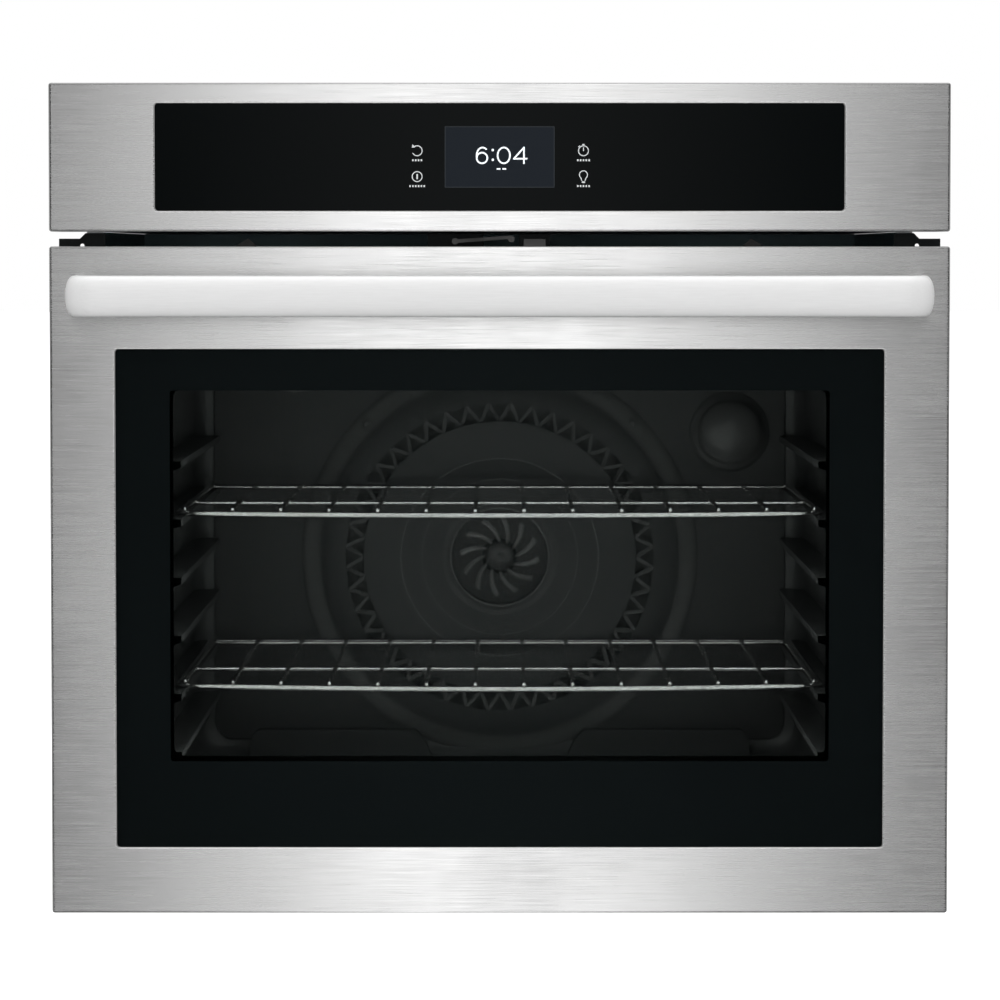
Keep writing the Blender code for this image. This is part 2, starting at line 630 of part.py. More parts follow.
def make_deck_electronics():
    deck = DECK_Z + SHEET
    base = deck + 6 * MM
    board = block(
        "relay_board", "circuit_board", (-300 * MM, -110 * MM), (-20 * MM, 120 * MM), (base, base + 1.6 * MM)
    )
    for i in range(4):
        relay = block(
            f"relay_{i}", "circuit_board", ((-290 + 44 * i) * MM, (-262 + 44 * i) * MM), (60 * MM, 90 * MM),
            (base + 0.8 * MM, base + 24 * MM),
        )
        boolean(board, relay, "UNION")
    for i, (x, y) in enumerate(((-295, -15), (-115, -15), (-295, 115), (-115, 115))):
        post = turned(
            f"relay_post_{i}", "circuit_board", "Z", (x * MM, y * MM),
            [(0, deck + GAP), (3 * MM, deck + GAP), (3 * MM, base + 0.8 * MM), (0, base + 0.8 * MM)], 8,
        )
        boolean(board, post, "UNION")
    box = block(
        "junction_box", "galvanised_steel", (215 * MM, 315 * MM), (270 * MM, BODY_BACK_Y - SHEET - GAP),
        (deck + GAP, 675 * MM),
    )
    hollow = block(
        "junction_box_inside", "galvanised_steel", (217 * MM, 313 * MM), (272 * MM, BODY_BACK_Y - 4 * MM),
        (deck - 5 * MM, 673 * MM),
    )
    boolean(box, hollow, "DIFFERENCE")
    bushing = turned(
        "conduit_bushing", "galvanised_steel", "Y", CONDUIT,
        [
            (9 * MM, BODY_BACK_Y - 4.5 * MM), (14 * MM, BODY_BACK_Y - 4.5 * MM),
            (14 * MM, BODY_BACK_Y + 2 * MM), (17.5 * MM, BODY_BACK_Y + 2 * MM), (17.5 * MM, BACK_Y),
            (9 * MM, BACK_Y),
        ],
        16,
    )
    bore = turned(
        "conduit_bore", "galvanised_steel", "Y", CONDUIT,
        [(0, 300 * MM), (10 * MM, 300 * MM), (10 * MM, BODY_BACK_Y - 1 * MM), (0, BODY_BACK_Y - 1 * MM)], 16,
    )
    boolean(box, bore, "DIFFERENCE")
    boolean(box, bushing, "UNION")
    route = [
        (-80 * MM, FACE_Y + 31 * MM, 600 * MM), (-80 * MM, -190 * MM, 600 * MM),
        (-80 * MM, -60 * MM, 594 * MM), (-60 * MM, 60 * MM, 594 * MM), (110 * MM, 120 * MM, 594 * MM),
        (200 * MM, 200 * MM, 596 * MM), (238 * MM, 262 * MM, 608 * MM),
    ]
    tube("wire_harness", "black_plastic", rounded_path(route, 30 * MM, 3), 5 * MM, 2)
    turned(
        "thermal_cutout", "black_plastic", "Z", (150 * MM, -60 * MM),
        [
            (0, deck + GAP), (12 * MM, deck + GAP), (12 * MM, deck + 2.5 * MM), (8 * MM, deck + 3 * MM),
            (8 * MM, deck + 14 * MM), (0, deck + 14 * MM),
        ],
        16,
    )


def make_blower():
    """The cooling blower: a scroll housing open below, a vaned wheel on its shaft and a motor beside it."""
    deck = DECK_Z + SHEET + GAP
    half, wall = 65 * MM, 1.5 * MM
    inner_r = 42 * MM

    def scroll(radius, foot):
        arc = [
            (BLOWER_Y + radius * math.cos(math.radians(a)), BLOWER_Z + radius * math.sin(math.radians(a)))
            for a in range(-20, 181, 20)
        ]
        return [(BLOWER_Y, foot), *arc, (BLOWER_Y - radius, foot)]

    shell = plate(
        "blower_housing", "galvanised_steel", "X", (-half, half), scroll(inner_r + wall, deck)
    )
    inside = plate(
        "blower_inside", "galvanised_steel", "X", (-half + wall, half - wall), scroll(inner_r, deck - 5 * MM)
    )
    boolean(shell, inside, "DIFFERENCE")
    for i, (side, hole_r) in enumerate(((-1, 20 * MM), (1, 6 * MM))):
        ends = sorted((side * (half - 5 * MM), side * (half + 5 * MM)))
        hole = plate(
            f"blower_hole_{i}", "galvanised_steel", "X", ends, circle(BLOWER_Y, BLOWER_Z, hole_r)
        )
        boolean(shell, hole, "DIFFERENCE")
    reach = half - 6 * MM
    wheel = turned(
        "cooling_wheel", "motor_steel", "X", (BLOWER_Y, BLOWER_Z),
        [
            (0, -reach), (34 * MM, -reach), (34 * MM, -reach + 1.5 * MM), (4 * MM, -reach + 1.5 * MM),
            (4 * MM, reach - 1.5 * MM), (34 * MM, reach - 1.5 * MM), (34 * MM, reach), (4 * MM, reach),
            (4 * MM, half + 22 * MM), (0, half + 22 * MM),
        ],
        16,
    )
    for i in range(10):
        turn = Matrix.Translation((0, BLOWER_Y, BLOWER_Z)) @ Matrix.Rotation(i * math.pi / 5, 4, "X")
        vane = block(
            f"blower_vane_{i}", "motor_steel", (-reach + 0.7 * MM, reach - 0.7 * MM),
            (24 * MM, 33 * MM), (-0.8 * MM, 0.8 * MM),
        )
        vane.matrix_world = turn
        boolean(wheel, vane, "UNION")
    carry(("cooling_wheel_axis", (0, BLOWER_Y, BLOWER_Z)), [wheel])
    start = half + 8 * MM
    turned(
        "blower_motor", "motor_steel", "X", (BLOWER_Y, BLOWER_Z),
        [
            (4.4 * MM, start), (12 * MM, start), (28 * MM, start + 4 * MM), (28 * MM, start + 40 * MM),
            (0, start + 40 * MM), (0, start + 16 * MM), (4.4 * MM, start + 16 * MM),
        ],
        20,
    )


def make_latch_and_switch():
    """The door lock's hook and its motor, and the lamp switch that the door presses."""
    hook_front, hook_back = LATCH_Y - 2 * MM, LATCH_Y + 2 * MM
    tip = 48 * MM
    rise, half = tip * math.tan(math.radians(4)), 1.5 * MM
    top = [(0, half), (tip, rise + half), (tip + 3 * MM, rise)]
    hook_low = rise - 4 * MM
    bottom = [(tip + 2 * MM, hook_low), (tip - 2 * MM, hook_low), (tip - 3 * MM, rise - half), (0, -half)]
    outline = [(LATCH_X + x, LATCH_Z + z) for x, z in bottom[::-1] + top[::-1]]
    hook = plate("latch_hook", "chrome_wire", "Y", (hook_front, hook_back), outline)
    shaft_back = FRAME_Y + 22 * MM
    shaft = turned(
        "latch_shaft", "chrome_wire", "Y", (LATCH_X, LATCH_Z),
        [
            (0, hook_front - 0.5 * MM), (2.8 * MM, hook_front - 0.5 * MM), (2.8 * MM, hook_back + 0.5 * MM),
            (2.5 * MM, hook_back + 1 * MM), (2.5 * MM, shaft_back), (0, shaft_back),
        ],
        12,
    )
    boolean(hook, shaft, "UNION")
    carry(("latch_axis", (LATCH_X, LATCH_Y, LATCH_Z)), [hook])
    motor = block(
        "latch_motor", "black_plastic", (LATCH_X - 24 * MM, LATCH_X + 24 * MM),
        (FRAME_Y + 14 * MM, FRAME_Y + 60 * MM), (DUCT_FLOOR + SHEET + GAP, DECK_Z - 2 * MM),
    )
    bore = turned(
        "latch_bore", "black_plastic", "Y", (LATCH_X, LATCH_Z),
        [(0, FRAME_Y), (2.9 * MM, FRAME_Y), (2.9 * MM, shaft_back + 2 * MM), (0, shaft_back + 2 * MM)], 12,
    )
    boolean(motor, bore, "DIFFERENCE")
    half, low, high = 9.4 * MM, 566.5 * MM, 577.5 * MM
    switch = block(
        "door_switch", "black_plastic", (SWITCH_X - half - 4 * MM, SWITCH_X + half + 4 * MM),
        (FRAME_Y + 4 * MM, FRAME_Y + 32 * MM), (DUCT_FLOOR + SHEET + GAP, high + 4 * MM),
    )
    pocket = block(
        "switch_pocket", "black_plastic", (SWITCH_X - half - GAP, SWITCH_X + half + GAP),
        (FRAME_Y, FRAME_Y + 22 * MM), (low - GAP, high + GAP),
    )
    boolean(switch, pocket, "DIFFERENCE")
    plunger = block(
        "switch_plunger", "grey_plastic", (SWITCH_X - half, SWITCH_X + half),
        (LINER_Y + GAP, FRAME_Y + 18 * MM), (low, high),
    )
    carry(("plunger_slide", (SWITCH_X, LINER_Y + GAP, (low + high) / 2)), [plunger])


# ---------------------------------------------------------------- door
def make_handle():
    """A wide bar that bows forward a little and turns back into the door at both ends."""
    deep, tall = HANDLE_DEEP / 2, HANDLE_TALL / 2
    bow, bend = 5.5 * MM, 18 * MM
    leg_x = HANDLE_HALF_L - deep
    end_y = FRONT_Y + deep + bow
    half_run = leg_x - bend
    left = [Vector((-leg_x, FACE_Y - GAP, HANDLE_Z)), Vector((-leg_x, end_y + bend, HANDLE_Z))]
    for i in range(1, 5):
        angle = math.radians(90 * i / 5)
        left.append(
            Vector((-leg_x + bend * (1 - math.cos(angle)), end_y + bend * (1 - math.sin(angle)), HANDLE_Z))
        )
    middle = [
        Vector((x, end_y - bow * (1 - (x / half_run) ** 2), HANDLE_Z))
        for x in [half_run * (i / 6 - 1) for i in range(13)]
    ]
    right = [Vector((-p.x, p.y, p.z)) for p in reversed(left)]
    path = left + middle + right
    bm = bmesh.new()
    rings = []
    for i, place in enumerate(path):
        if i in (0, len(path) - 1):
            along = Vector((0, -1, 0)) if i == 0 else Vector((0, 1, 0))
        else:
            along = (path[i + 1] - path[i - 1]).normalized()
        outward = Vector((along.y, -along.x, 0))
        ring = []
        for k in range(16):
            angle = 2 * math.pi * k / 16
            across, up = math.cos(angle), math.sin(angle)
            u = math.copysign(abs(across) ** (2 / 2.3), across) * deep
            v = math.copysign(abs(up) ** (2 / 3), up) * tall
            ring.append(bm.verts.new(place + outward * u + Vector((0, 0, v))))
        rings.append(ring)
    for one, two in zip(rings, rings[1:]):
        for k in range(16):
            bm.faces.new((one[k - 1], one[k], two[k], two[k - 1]))
    bm.faces.new(rings[0])
    bm.faces.new(rings[-1][::-1])
    return add_object("door_handle", bm, "handle_steel", smooth=True)


def make_door_panels():
    window = rounded_rectangle(-WINDOW_HALF_W, WINDOW_HALF_W, WINDOW_LOW, WINDOW_HIGH, 3 * MM)
    skin = folded_pan(
        "door_skin", "brushed_steel", "Y", FACE_Y,
        rounded_rectangle(-HALF_W, HALF_W, DOOR_BOTTOM, DOOR_TOP, 1.2 * MM, 2),
        DOOR_THICK - SHEET - GAP, [window],
    )
    trim_front = FACE_Y + 22 * MM
    cuts = [((-HALF_W + 9 * MM, HALF_W - 9 * MM), trim_front, (DOOR_TOP - 4 * MM, DOOR_TOP + 5 * MM))]
    for side in (-1, 1):
        x = side * HINGE_X
        height = (DOOR_BOTTOM - 5 * MM, DOOR_BOTTOM + 4 * MM)
        cuts.append(((x - 5 * MM, x + 5 * MM), HINGE_Y - 9 * MM, height))
    for i, (x, front, z) in enumerate(cuts):
        notch = block(f"skin_notch_{i}", "brushed_steel", x, (front, LINER_Y + 5 * MM), z)
        boolean(skin, notch, "DIFFERENCE")
    front = FACE_Y + SHEET + GAP
    outer_glass = plate(
        "door_outer_glass", "black_glass", "Y", (front, front + 4 * MM),
        rectangle(
            -WINDOW_HALF_W - 8 * MM, WINDOW_HALF_W + 8 * MM, WINDOW_LOW - 8 * MM, WINDOW_HIGH + 8 * MM
        ),
    )
    middle_glass = block(
        "door_middle_glass", "clear_glass", (-SIGHT_HALF_W - 14 * MM, SIGHT_HALF_W + 14 * MM),
        (FACE_Y + 18 * MM, FACE_Y + 21 * MM), (SIGHT_LOW - 14 * MM, SIGHT_HIGH + 14 * MM),
    )
    inner_glass = block(
        "door_inner_glass", "clear_glass", (-SIGHT_HALF_W - 10 * MM, SIGHT_HALF_W + 10 * MM),
        (LINER_Y - SHEET - GAP - 4 * MM, LINER_Y - SHEET - GAP), (SIGHT_LOW - 10 * MM, SIGHT_HIGH + 10 * MM),
    )
    sight = rounded_rectangle(-SIGHT_HALF_W, SIGHT_HALF_W, SIGHT_LOW, SIGHT_HIGH, 8 * MM)
    edge, low = 2 * MM, DOOR_BOTTOM + 1 * MM
    notched = [(-HALF_W + edge, low)]
    for side in (-1, 1):
        a, b = sorted((side * HINGE_X - 5 * MM, side * HINGE_X + 5 * MM))
        notched += [(a, low), (a, 27 * MM), (b, 27 * MM), (b, low)]
    high = DOOR_TOP - 2 * MM
    notched += [(HALF_W - edge, low), (HALF_W - edge, high), (-HALF_W + edge, high)]
    liner = plate("door_liner", "black_enamel", "Y", (LINER_Y - SHEET, LINER_Y), notched, [sight])
    clear = 16 * MM
    around_glass = rectangle(
        -SIGHT_HALF_W - clear, SIGHT_HALF_W + clear, SIGHT_LOW - clear, SIGHT_HIGH + clear
    )
    wool = plate(
        "door_insulation", "insulation", "Y", (FACE_Y + 8 * MM, LINER_Y - SHEET - 2 * MM),
        rectangle(-318 * MM, 318 * MM, 36 * MM, 545 * MM), [around_glass],
    )
    slot = rectangle(LATCH_X - 6 * MM, LATCH_X + 60 * MM, LATCH_Y - 6 * MM, LATCH_Y + 6 * MM)
    top = plate(
        "door_top_trim", "black_plastic", "Z", (DOOR_TOP - 3 * MM, DOOR_TOP - 0.5 * MM),
        rectangle(-HALF_W + 10 * MM, HALF_W - 10 * MM, trim_front + GAP, LINER_Y - SHEET - GAP), [slot],
    )
    return [skin, outer_glass, middle_glass, inner_glass, liner, wool, top]


def make_hinges():
    """Each side's pocket in the oven body, the arm hooked into it, and the channel and spring in the door."""
    in_door = []
    for side, word in ((-1, "left"), (1, "right")):
        x = side * HINGE_X
        pocket_x = (x - 7 * MM, x + 7 * MM)
        receiver = block(
            f"hinge_receiver_{word}", "galvanised_steel", pocket_x,
            (FRAME_BACK_Y + 2 * MM, FRAME_Y + 78 * MM), (2 * MM, HINGE_Z + 7.6 * MM),
        )
        inside = block(
            f"receiver_pocket_{word}", "galvanised_steel", (x - 3.6 * MM, x + 3.6 * MM),
            (FRAME_Y - 5 * MM, FRAME_Y + 72 * MM), (HINGE_Z - 7 * MM, HINGE_Z + 7 * MM),
        )
        boolean(receiver, inside, "DIFFERENCE")
        knuckle = [
            (HINGE_Y + 6.5 * MM * math.cos(a), HINGE_Z + 6.5 * MM * math.sin(a))
            for a in [math.radians(degrees) for degrees in range(90, 271, 30)]
        ]
        reach = FRAME_Y + 68 * MM
        arm = plate(
            f"hinge_arm_{word}", "motor_steel", "X", (x - 3 * MM, x + 3 * MM),
            [*knuckle, (reach - 12 * MM, HINGE_Z - 6.5 * MM), (reach, HINGE_Z - 2 * MM),
             (reach, HINGE_Z + 4 * MM), (reach - 6 * MM, HINGE_Z + 6.5 * MM)],
        )
        pin = turned(
            f"hinge_pin_{word}", "motor_steel", "X", (HINGE_Y, HINGE_Z),
            [(0, x - 8.5 * MM), (3 * MM, x - 8.5 * MM), (3 * MM, x + 8.5 * MM), (0, x + 8.5 * MM)], 12,
        )
        boolean(arm, pin, "UNION")
        web = FACE_Y + 10 * MM
        channel = plate(
            f"hinge_channel_{word}", "galvanised_steel", "Z", (30 * MM, 215 * MM),
            [
                (x - 11 * MM, LINER_Y - 5 * MM), (x - 11 * MM, web), (x + 11 * MM, web),
                (x + 11 * MM, LINER_Y - 5 * MM), (x + 9.5 * MM, LINER_Y - 5 * MM),
                (x + 9.5 * MM, web + SHEET), (x - 9.5 * MM, web + SHEET), (x - 9.5 * MM, LINER_Y - 5 * MM),
            ],
        )
        for i, start in enumerate((x - 11 * MM, x + 9.5 * MM)):
            cheek = plate(
                f"hinge_cheek_{word}_{i}", "galvanised_steel", "X",
                (start + 0.1 * MM, start + SHEET - 0.1 * MM),
                rectangle(web + 0.2 * MM, LINER_Y - 2.5 * MM, HINGE_Z - 6 * MM, 60 * MM),
            )
            boolean(channel, cheek, "UNION")
        turns, per_turn = 8, 8
        coil_r, wire = 6 * MM, 1.6 * MM
        low, high = 70 * MM, 200 * MM
        coil = [
            (
                x + coil_r * math.cos(2 * math.pi * i / per_turn),
                FACE_Y + 24 * MM + coil_r * math.sin(2 * math.pi * i / per_turn),
                low + (high - low) * i / (turns * per_turn),
            )
            for i in range(turns * per_turn + 1)
        ]
        spring = tube(f"hinge_spring_{word}", "motor_steel", coil, wire, 0)
        in_door += [channel, spring]
    return in_door


def main():
    clear_scene()
    make_body_shell()
    make_control_deck()
    make_front_frame()
    make_side_trims()
    make_gasket()
    make_cavity()
    make_insulation()
    make_fan_cover()
    make_convection_fan()
    make_elements()
    make_lamp_and_probe()
    make_rack("rack_lower", RACK_LOWER_Z)
    make_rack("rack_upper", RACK_UPPER_Z)
    make_control_panel()
    make_deck_electronics()
    make_blower()
    make_latch_and_switch()
    door_parts = [make_handle(), *make_door_panels(), *make_hinges()]
    carry(("door_hinge_axis", (0, HINGE_Y, HINGE_Z)), door_parts)


main()
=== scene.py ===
"""Looks for a built-in wall oven: brushed steel, dark glass, an enamelled cavity and its wire racks.

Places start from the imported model's own boxes. Units are metres; the door faces -Y.
"""

import json
import math

import bmesh
import bpy
from mathutils import Matrix, Vector


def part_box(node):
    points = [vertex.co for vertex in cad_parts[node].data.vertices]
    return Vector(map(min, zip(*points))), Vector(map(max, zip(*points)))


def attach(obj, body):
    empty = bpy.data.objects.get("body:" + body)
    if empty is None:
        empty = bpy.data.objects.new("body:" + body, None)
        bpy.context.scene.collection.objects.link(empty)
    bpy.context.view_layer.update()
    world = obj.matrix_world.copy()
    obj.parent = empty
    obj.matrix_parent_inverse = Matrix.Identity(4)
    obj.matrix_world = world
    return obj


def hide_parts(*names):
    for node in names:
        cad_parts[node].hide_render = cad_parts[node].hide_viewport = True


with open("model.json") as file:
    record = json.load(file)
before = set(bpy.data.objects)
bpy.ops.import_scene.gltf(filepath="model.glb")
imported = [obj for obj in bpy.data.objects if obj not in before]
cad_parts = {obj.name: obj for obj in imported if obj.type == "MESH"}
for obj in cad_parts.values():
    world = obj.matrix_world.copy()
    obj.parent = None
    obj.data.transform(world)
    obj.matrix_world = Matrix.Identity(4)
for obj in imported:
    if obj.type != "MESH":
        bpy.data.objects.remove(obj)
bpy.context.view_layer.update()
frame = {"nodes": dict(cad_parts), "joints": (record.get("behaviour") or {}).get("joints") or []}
MM = 0.001

# ---------------------------------------------------------------- places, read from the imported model
SKIN_LOW, SKIN_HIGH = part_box("door_skin")
PANEL_LOW, PANEL_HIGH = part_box("control_panel")
PANE_LOW, PANE_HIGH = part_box("door_outer_glass")
LINER_LOW, LINER_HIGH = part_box("door_liner")
TOUCH_LOW, TOUCH_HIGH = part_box("control_glass")
HANDLE_LOW, HANDLE_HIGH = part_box("door_handle")
SCREEN_LOW, SCREEN_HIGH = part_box("display_module")
FRAME_LOW, FRAME_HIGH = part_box("front_frame")
BACK_WALL_LOW, BACK_WALL_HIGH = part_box("cavity_back_wall")
COVER_LOW, COVER_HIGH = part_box("fan_cover")
GASKET_LOW, GASKET_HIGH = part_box("door_gasket")
LENS_LOW, LENS_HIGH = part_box("lamp_lens")
INNER_LOW, INNER_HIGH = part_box("door_inner_glass")
TOP_LOW, TOP_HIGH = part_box("top_cover")
SIDE_LOW, SIDE_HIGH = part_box("side_panel_right")
REAR_LOW, REAR_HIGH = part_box("rear_cover")
BROIL_LOW, BROIL_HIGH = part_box("broil_element")
DUCT_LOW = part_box("air_duct")[0]
HARNESS_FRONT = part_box("wire_harness")[0].y
JOINTS = {joint["name"]: joint for joint in frame["joints"]}

FACE_Y = SKIN_LOW.y
SHEET = 1.5 * MM  # how thick the folded steel is


def opening_within(low, high, lap):
    """An opening as (half width, bottom, top), where what closes it laps behind its edge all round."""
    return (high.x - lap, low.z + lap, high.z - lap)


WINDOW = opening_within(PANE_LOW, PANE_HIGH, 8 * MM)
TOUCH = opening_within(TOUCH_LOW, TOUCH_HIGH, 6 * MM)
SCREEN = opening_within(SCREEN_LOW, SCREEN_HIGH, 4 * MM)
SIGHT = opening_within(INNER_LOW, INNER_HIGH, 10 * MM)  # the clear part inside the window's printed border
CAVITY_HALF_W, CAVITY_FLOOR = opening_within(BACK_WALL_LOW, BACK_WALL_HIGH, 2 * MM)[:2]
CAVITY_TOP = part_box("cavity_ceiling")[0].z
BACK_Y = BACK_WALL_LOW.y
FAN = Vector(JOINTS["convection_fan_spin"]["pos_m"])
HINGE = Vector(JOINTS["door_hinge"]["pos_m"])


# ---------------------------------------------------------------- node-based materials
class Shader:
    """Builds a material's nodes, or a world's. A socket argument is a value or another node's output."""

    def __init__(self, name, world=False):
        self.owner = bpy.data.worlds.new(name) if world else bpy.data.materials.new(name)
        self.owner.use_nodes = True
        self.tree = self.owner.node_tree
        self.tree.nodes.clear()
        self.output = self.tree.nodes.new("ShaderNodeOutputWorld" if world else "ShaderNodeOutputMaterial")

    def node(self, kind, sockets=(), **settings):
        made = self.tree.nodes.new(kind)
        for key, value in settings.items():
            setattr(made, key, value)
        for key, value in dict(sockets).items():
            if isinstance(value, bpy.types.NodeSocket):
                self.tree.links.new(value, made.inputs[key])
            else:
                made.inputs[key].default_value = value
        return made

    def place(self, scale):
        """Object coordinates stretched by a scale on each axis."""
        coordinates = self.node("ShaderNodeTexCoord").outputs["Object"]
        return self.node("ShaderNodeMapping", {"Vector": coordinates, "Scale": scale}).outputs[0]

    def noise(self, scale, detail=3.0, roughness=0.5, stretch=(1, 1, 1), distortion=0.0):
        sockets = {
            "Vector": self.place(stretch), "Scale": scale, "Detail": detail, "Roughness": roughness,
            "Distortion": distortion,
        }
        return self.node("ShaderNodeTexNoise", sockets).outputs["Fac"]

    def cells(self, scale, output="Distance", stretch=(1, 1, 1)):
        made = self.node("ShaderNodeTexVoronoi", {"Vector": self.place(stretch), "Scale": scale})
        return made.outputs[output]

    def ramp(self, value, low, high, start=0.0, end=1.0, curve="LINEAR"):
        sockets = {"Value": value, "From Min": start, "From Max": end, "To Min": low, "To Max": high}
        return self.node("ShaderNodeMapRange", sockets, interpolation_type=curve).outputs[0]

    def blend(self, share, one, two):
        """Between two colours."""
        return self.node("ShaderNodeMix", {0: share, 6: one, 7: two}, data_type="RGBA").outputs[2]

    def mottle(self, noise, start, end, one, two):
        """Between two colours, as a noise goes from its start to its end."""
        return self.blend(self.ramp(noise, 0, 1, start, end), one, two)

    def mix(self, share, one, two):
        """Between two numbers."""
        return self.node("ShaderNodeMix", {0: share, 2: one, 3: two}, data_type="FLOAT").outputs[0]

    def calculate(self, operation, one, two=0.0):
        return self.node("ShaderNodeMath", {0: one, 1: two}, operation=operation).outputs[0]

    def flatness(self):
        """How squarely a surface faces along Y: 1 on the object's fronts and backs, 0 on its sides."""
        normal = self.node("ShaderNodeTexCoord").outputs["Normal"]
        along = self.node("ShaderNodeSeparateXYZ", {0: normal}).outputs[1]
        return self.calculate("ABSOLUTE", along)

    def edge(self, radius):
        return self.node("ShaderNodeBevel", {"Radius": radius}, samples=4).outputs[0]

    def bump(self, height, distance, strength, normal=None):
        sockets = {"Height": height, "Distance": distance, "Strength": strength}
        if normal is not None:
            sockets["Normal"] = normal
        return self.node("ShaderNodeBump", sockets).outputs[0]

    def surface(self, **sockets):
        named = {key.replace("_", " "): value for key, value in sockets.items()}
        made = self.node("ShaderNodeBsdfPrincipled", named)
        self.tree.links.new(made.outputs[0], self.output.inputs[0])
        return self.owner


def grey(value, warmth=0.0):
    return (value * (1 + warmth), value, value * (1 - warmth), 1)


def inky(value):
    """A black with a faint blue-green cast."""
    return (value * 0.74, value, value * 1.06, 1)


def darker(colour, share):
    return (*(c * share for c in colour[:3]), 1)


def brushed_steel(name, base, roughness):
    """Steel brushed along X: fine lines that vary with height, faint long bands and a few smudges."""
    s = Shader(name)
    lines = s.noise(1.0, 2.0, 0.6, (18, 18, 1500))
    bands = s.noise(1.0, 3.0, 0.55, (3, 3, 160))
    smudge = s.noise(6.0, 4.0, 0.6)
    tone = s.mottle(lines, 0.3, 0.7, grey(base * 0.975), grey(base * 1.02))
    tone = s.blend(s.ramp(bands, 0, 0.25, 0.35, 0.65), tone, grey(base * 0.92, 0.01))
    line_rough = s.ramp(lines, roughness - 0.04, roughness + 0.04, 0.3, 0.7)
    rough = s.calculate("ADD", line_rough, s.ramp(smudge, -0.02, 0.035, 0.35, 0.7))
    upright = s.node("ShaderNodeCombineXYZ", {2: 1.0}).outputs[0]
    return s.surface(
        Base_Color=tone, Metallic=1.0, Roughness=rough, Anisotropic=0.7, Tangent=upright,
        Normal=s.bump(lines, 0.012 * MM, 0.25, s.edge(0.5 * MM)),
    )


def satin_steel(name, base, roughness, metallic):
    """Steel under a fine bright satin coat, with hardly any grain."""
    s = Shader(name)
    grain = s.noise(1.0, 3.0, 0.6, (40, 900, 900))
    cloud = s.noise(9.0, 3.0, 0.5)
    tone = s.mottle(grain, 0.3, 0.7, grey(base * 0.97), grey(base * 1.02))
    return s.surface(
        Base_Color=tone, Metallic=metallic, Normal=s.bump(grain, 0.01 * MM, 0.3),
        Roughness=s.ramp(cloud, roughness - 0.03, roughness + 0.04, 0.3, 0.7),
    )


def galvanised(name):
    """Zinc-coated sheet with soft spangle and duller stains."""
    s = Shader(name)
    base = 0.5
    spangle = s.cells(150.0, "Color")
    flake = s.node("ShaderNodeSeparateColor", {0: spangle}).outputs[0]
    stain = s.noise(14.0, 5.0, 0.65)
    tone = s.blend(flake, grey(base * 0.88, -0.015), grey(base * 1.1, -0.01))
    tone = s.blend(s.ramp(stain, 0, 0.3, 0.52, 0.8), tone, grey(base * 0.65, 0.02))
    rough = s.calculate("ADD", s.ramp(flake, 0.34, 0.46), s.ramp(stain, -0.03, 0.1, 0.4, 0.75))
    return s.surface(
        Base_Color=tone, Metallic=0.9, Roughness=rough,
        Normal=s.bump(s.noise(60.0, 3.0), 0.05 * MM, 0.4, s.edge(0.6 * MM)),
    )


def motor_metal(name, base=0.4, metallic=0.9):
    """Plain grey sheet or cast metal, unevenly worn."""
    s = Shader(name)
    wear = s.noise(45.0, 5.0, 0.6)
    tone = s.mottle(wear, 0.35, 0.7, grey(base * 0.8), grey(base * 1.15))
    return s.surface(
        Base_Color=tone, Metallic=metallic, Roughness=s.ramp(wear, 0.3, 0.5),
        Normal=s.bump(wear, 0.03 * MM, 0.4, s.edge(0.4 * MM)),
    )


def enamel(name, base, fleck, painted_slope_highlight=1.0):
    """Black porcelain enamel: slightly wavy, with tiny pale flecks, and a painted highlight that makes it
    paler where a pressing slopes.
    """
    s = Shader(name)
    specks = s.cells(620.0)
    sparse = s.noise(240.0, 2.0, 0.7)
    chosen = s.calculate("MULTIPLY", s.ramp(specks, 1, 0, 0.1, 0.24), s.ramp(sparse, 0, 1, 0.54, 0.62))
    cloud = s.noise(5.0, 4.0, 0.6)
    tone = s.blend(cloud, grey(base * 0.9), grey(base * 1.25, -0.03))
    # Painted highlight: where a surface turns away from facing along Y, its colour is made paler to stand in
    # for the side light that slopes catch.
    if painted_slope_highlight != 1.0:
        tone = s.blend(s.ramp(s.flatness(), 1, 0, 0.7, 0.98), tone, grey(base * painted_slope_highlight))
    tone = s.blend(chosen, tone, grey(fleck, -0.08))
    return s.surface(
        Base_Color=tone, Roughness=s.ramp(cloud, 0.3, 0.42, 0.3, 0.7), Specular_IOR_Level=0.3,
        Normal=s.bump(s.noise(130.0, 2.0), 0.12 * MM, 0.35, s.edge(1.0 * MM)),
    )


def plastic(name, base, roughness, specular=0.4, hue=grey):
    """Moulded plastic or matt paint, with a fine grain."""
    s = Shader(name)
    grain = s.noise(900.0, 3.0, 0.6)
    cloud = s.noise(20.0, 3.0)
    tone = s.blend(cloud, hue(base * 0.88), hue(base * 1.12))
    return s.surface(
        Base_Color=tone, Roughness=s.ramp(grain, roughness - 0.06, roughness + 0.08, 0.3, 0.7),
        Normal=s.bump(grain, 0.03 * MM, 0.35, s.edge(0.4 * MM)), Specular_IOR_Level=specular,
    )


def chrome(name, base, roughness=0.1):
    """Plated wire: bright, with slight waviness and duller patches."""
    s = Shader(name)
    dull = s.noise(30.0, 4.0, 0.6)
    tone = s.mottle(dull, 0.35, 0.75, grey(base), grey(base * 0.82, 0.02))
    return s.surface(
        Base_Color=tone, Metallic=1.0, Roughness=s.ramp(dull, roughness, roughness + 0.14, 0.35, 0.75),
        Normal=s.bump(s.noise(220.0, 2.0), 0.02 * MM, 0.3),
    )


def sheath(name):
    """A heated element's dark, oxidised metal tube."""
    s = Shader(name)
    scale = s.noise(160.0, 6.0, 0.7)
    tone = s.mottle(scale, 0.3, 0.75, (0.05, 0.047, 0.045, 1), (0.16, 0.14, 0.125, 1))
    return s.surface(
        Base_Color=tone, Metallic=0.7, Roughness=s.ramp(scale, 0.42, 0.68, 0.3, 0.7),
        Normal=s.bump(scale, 0.1 * MM, 0.5),
    )


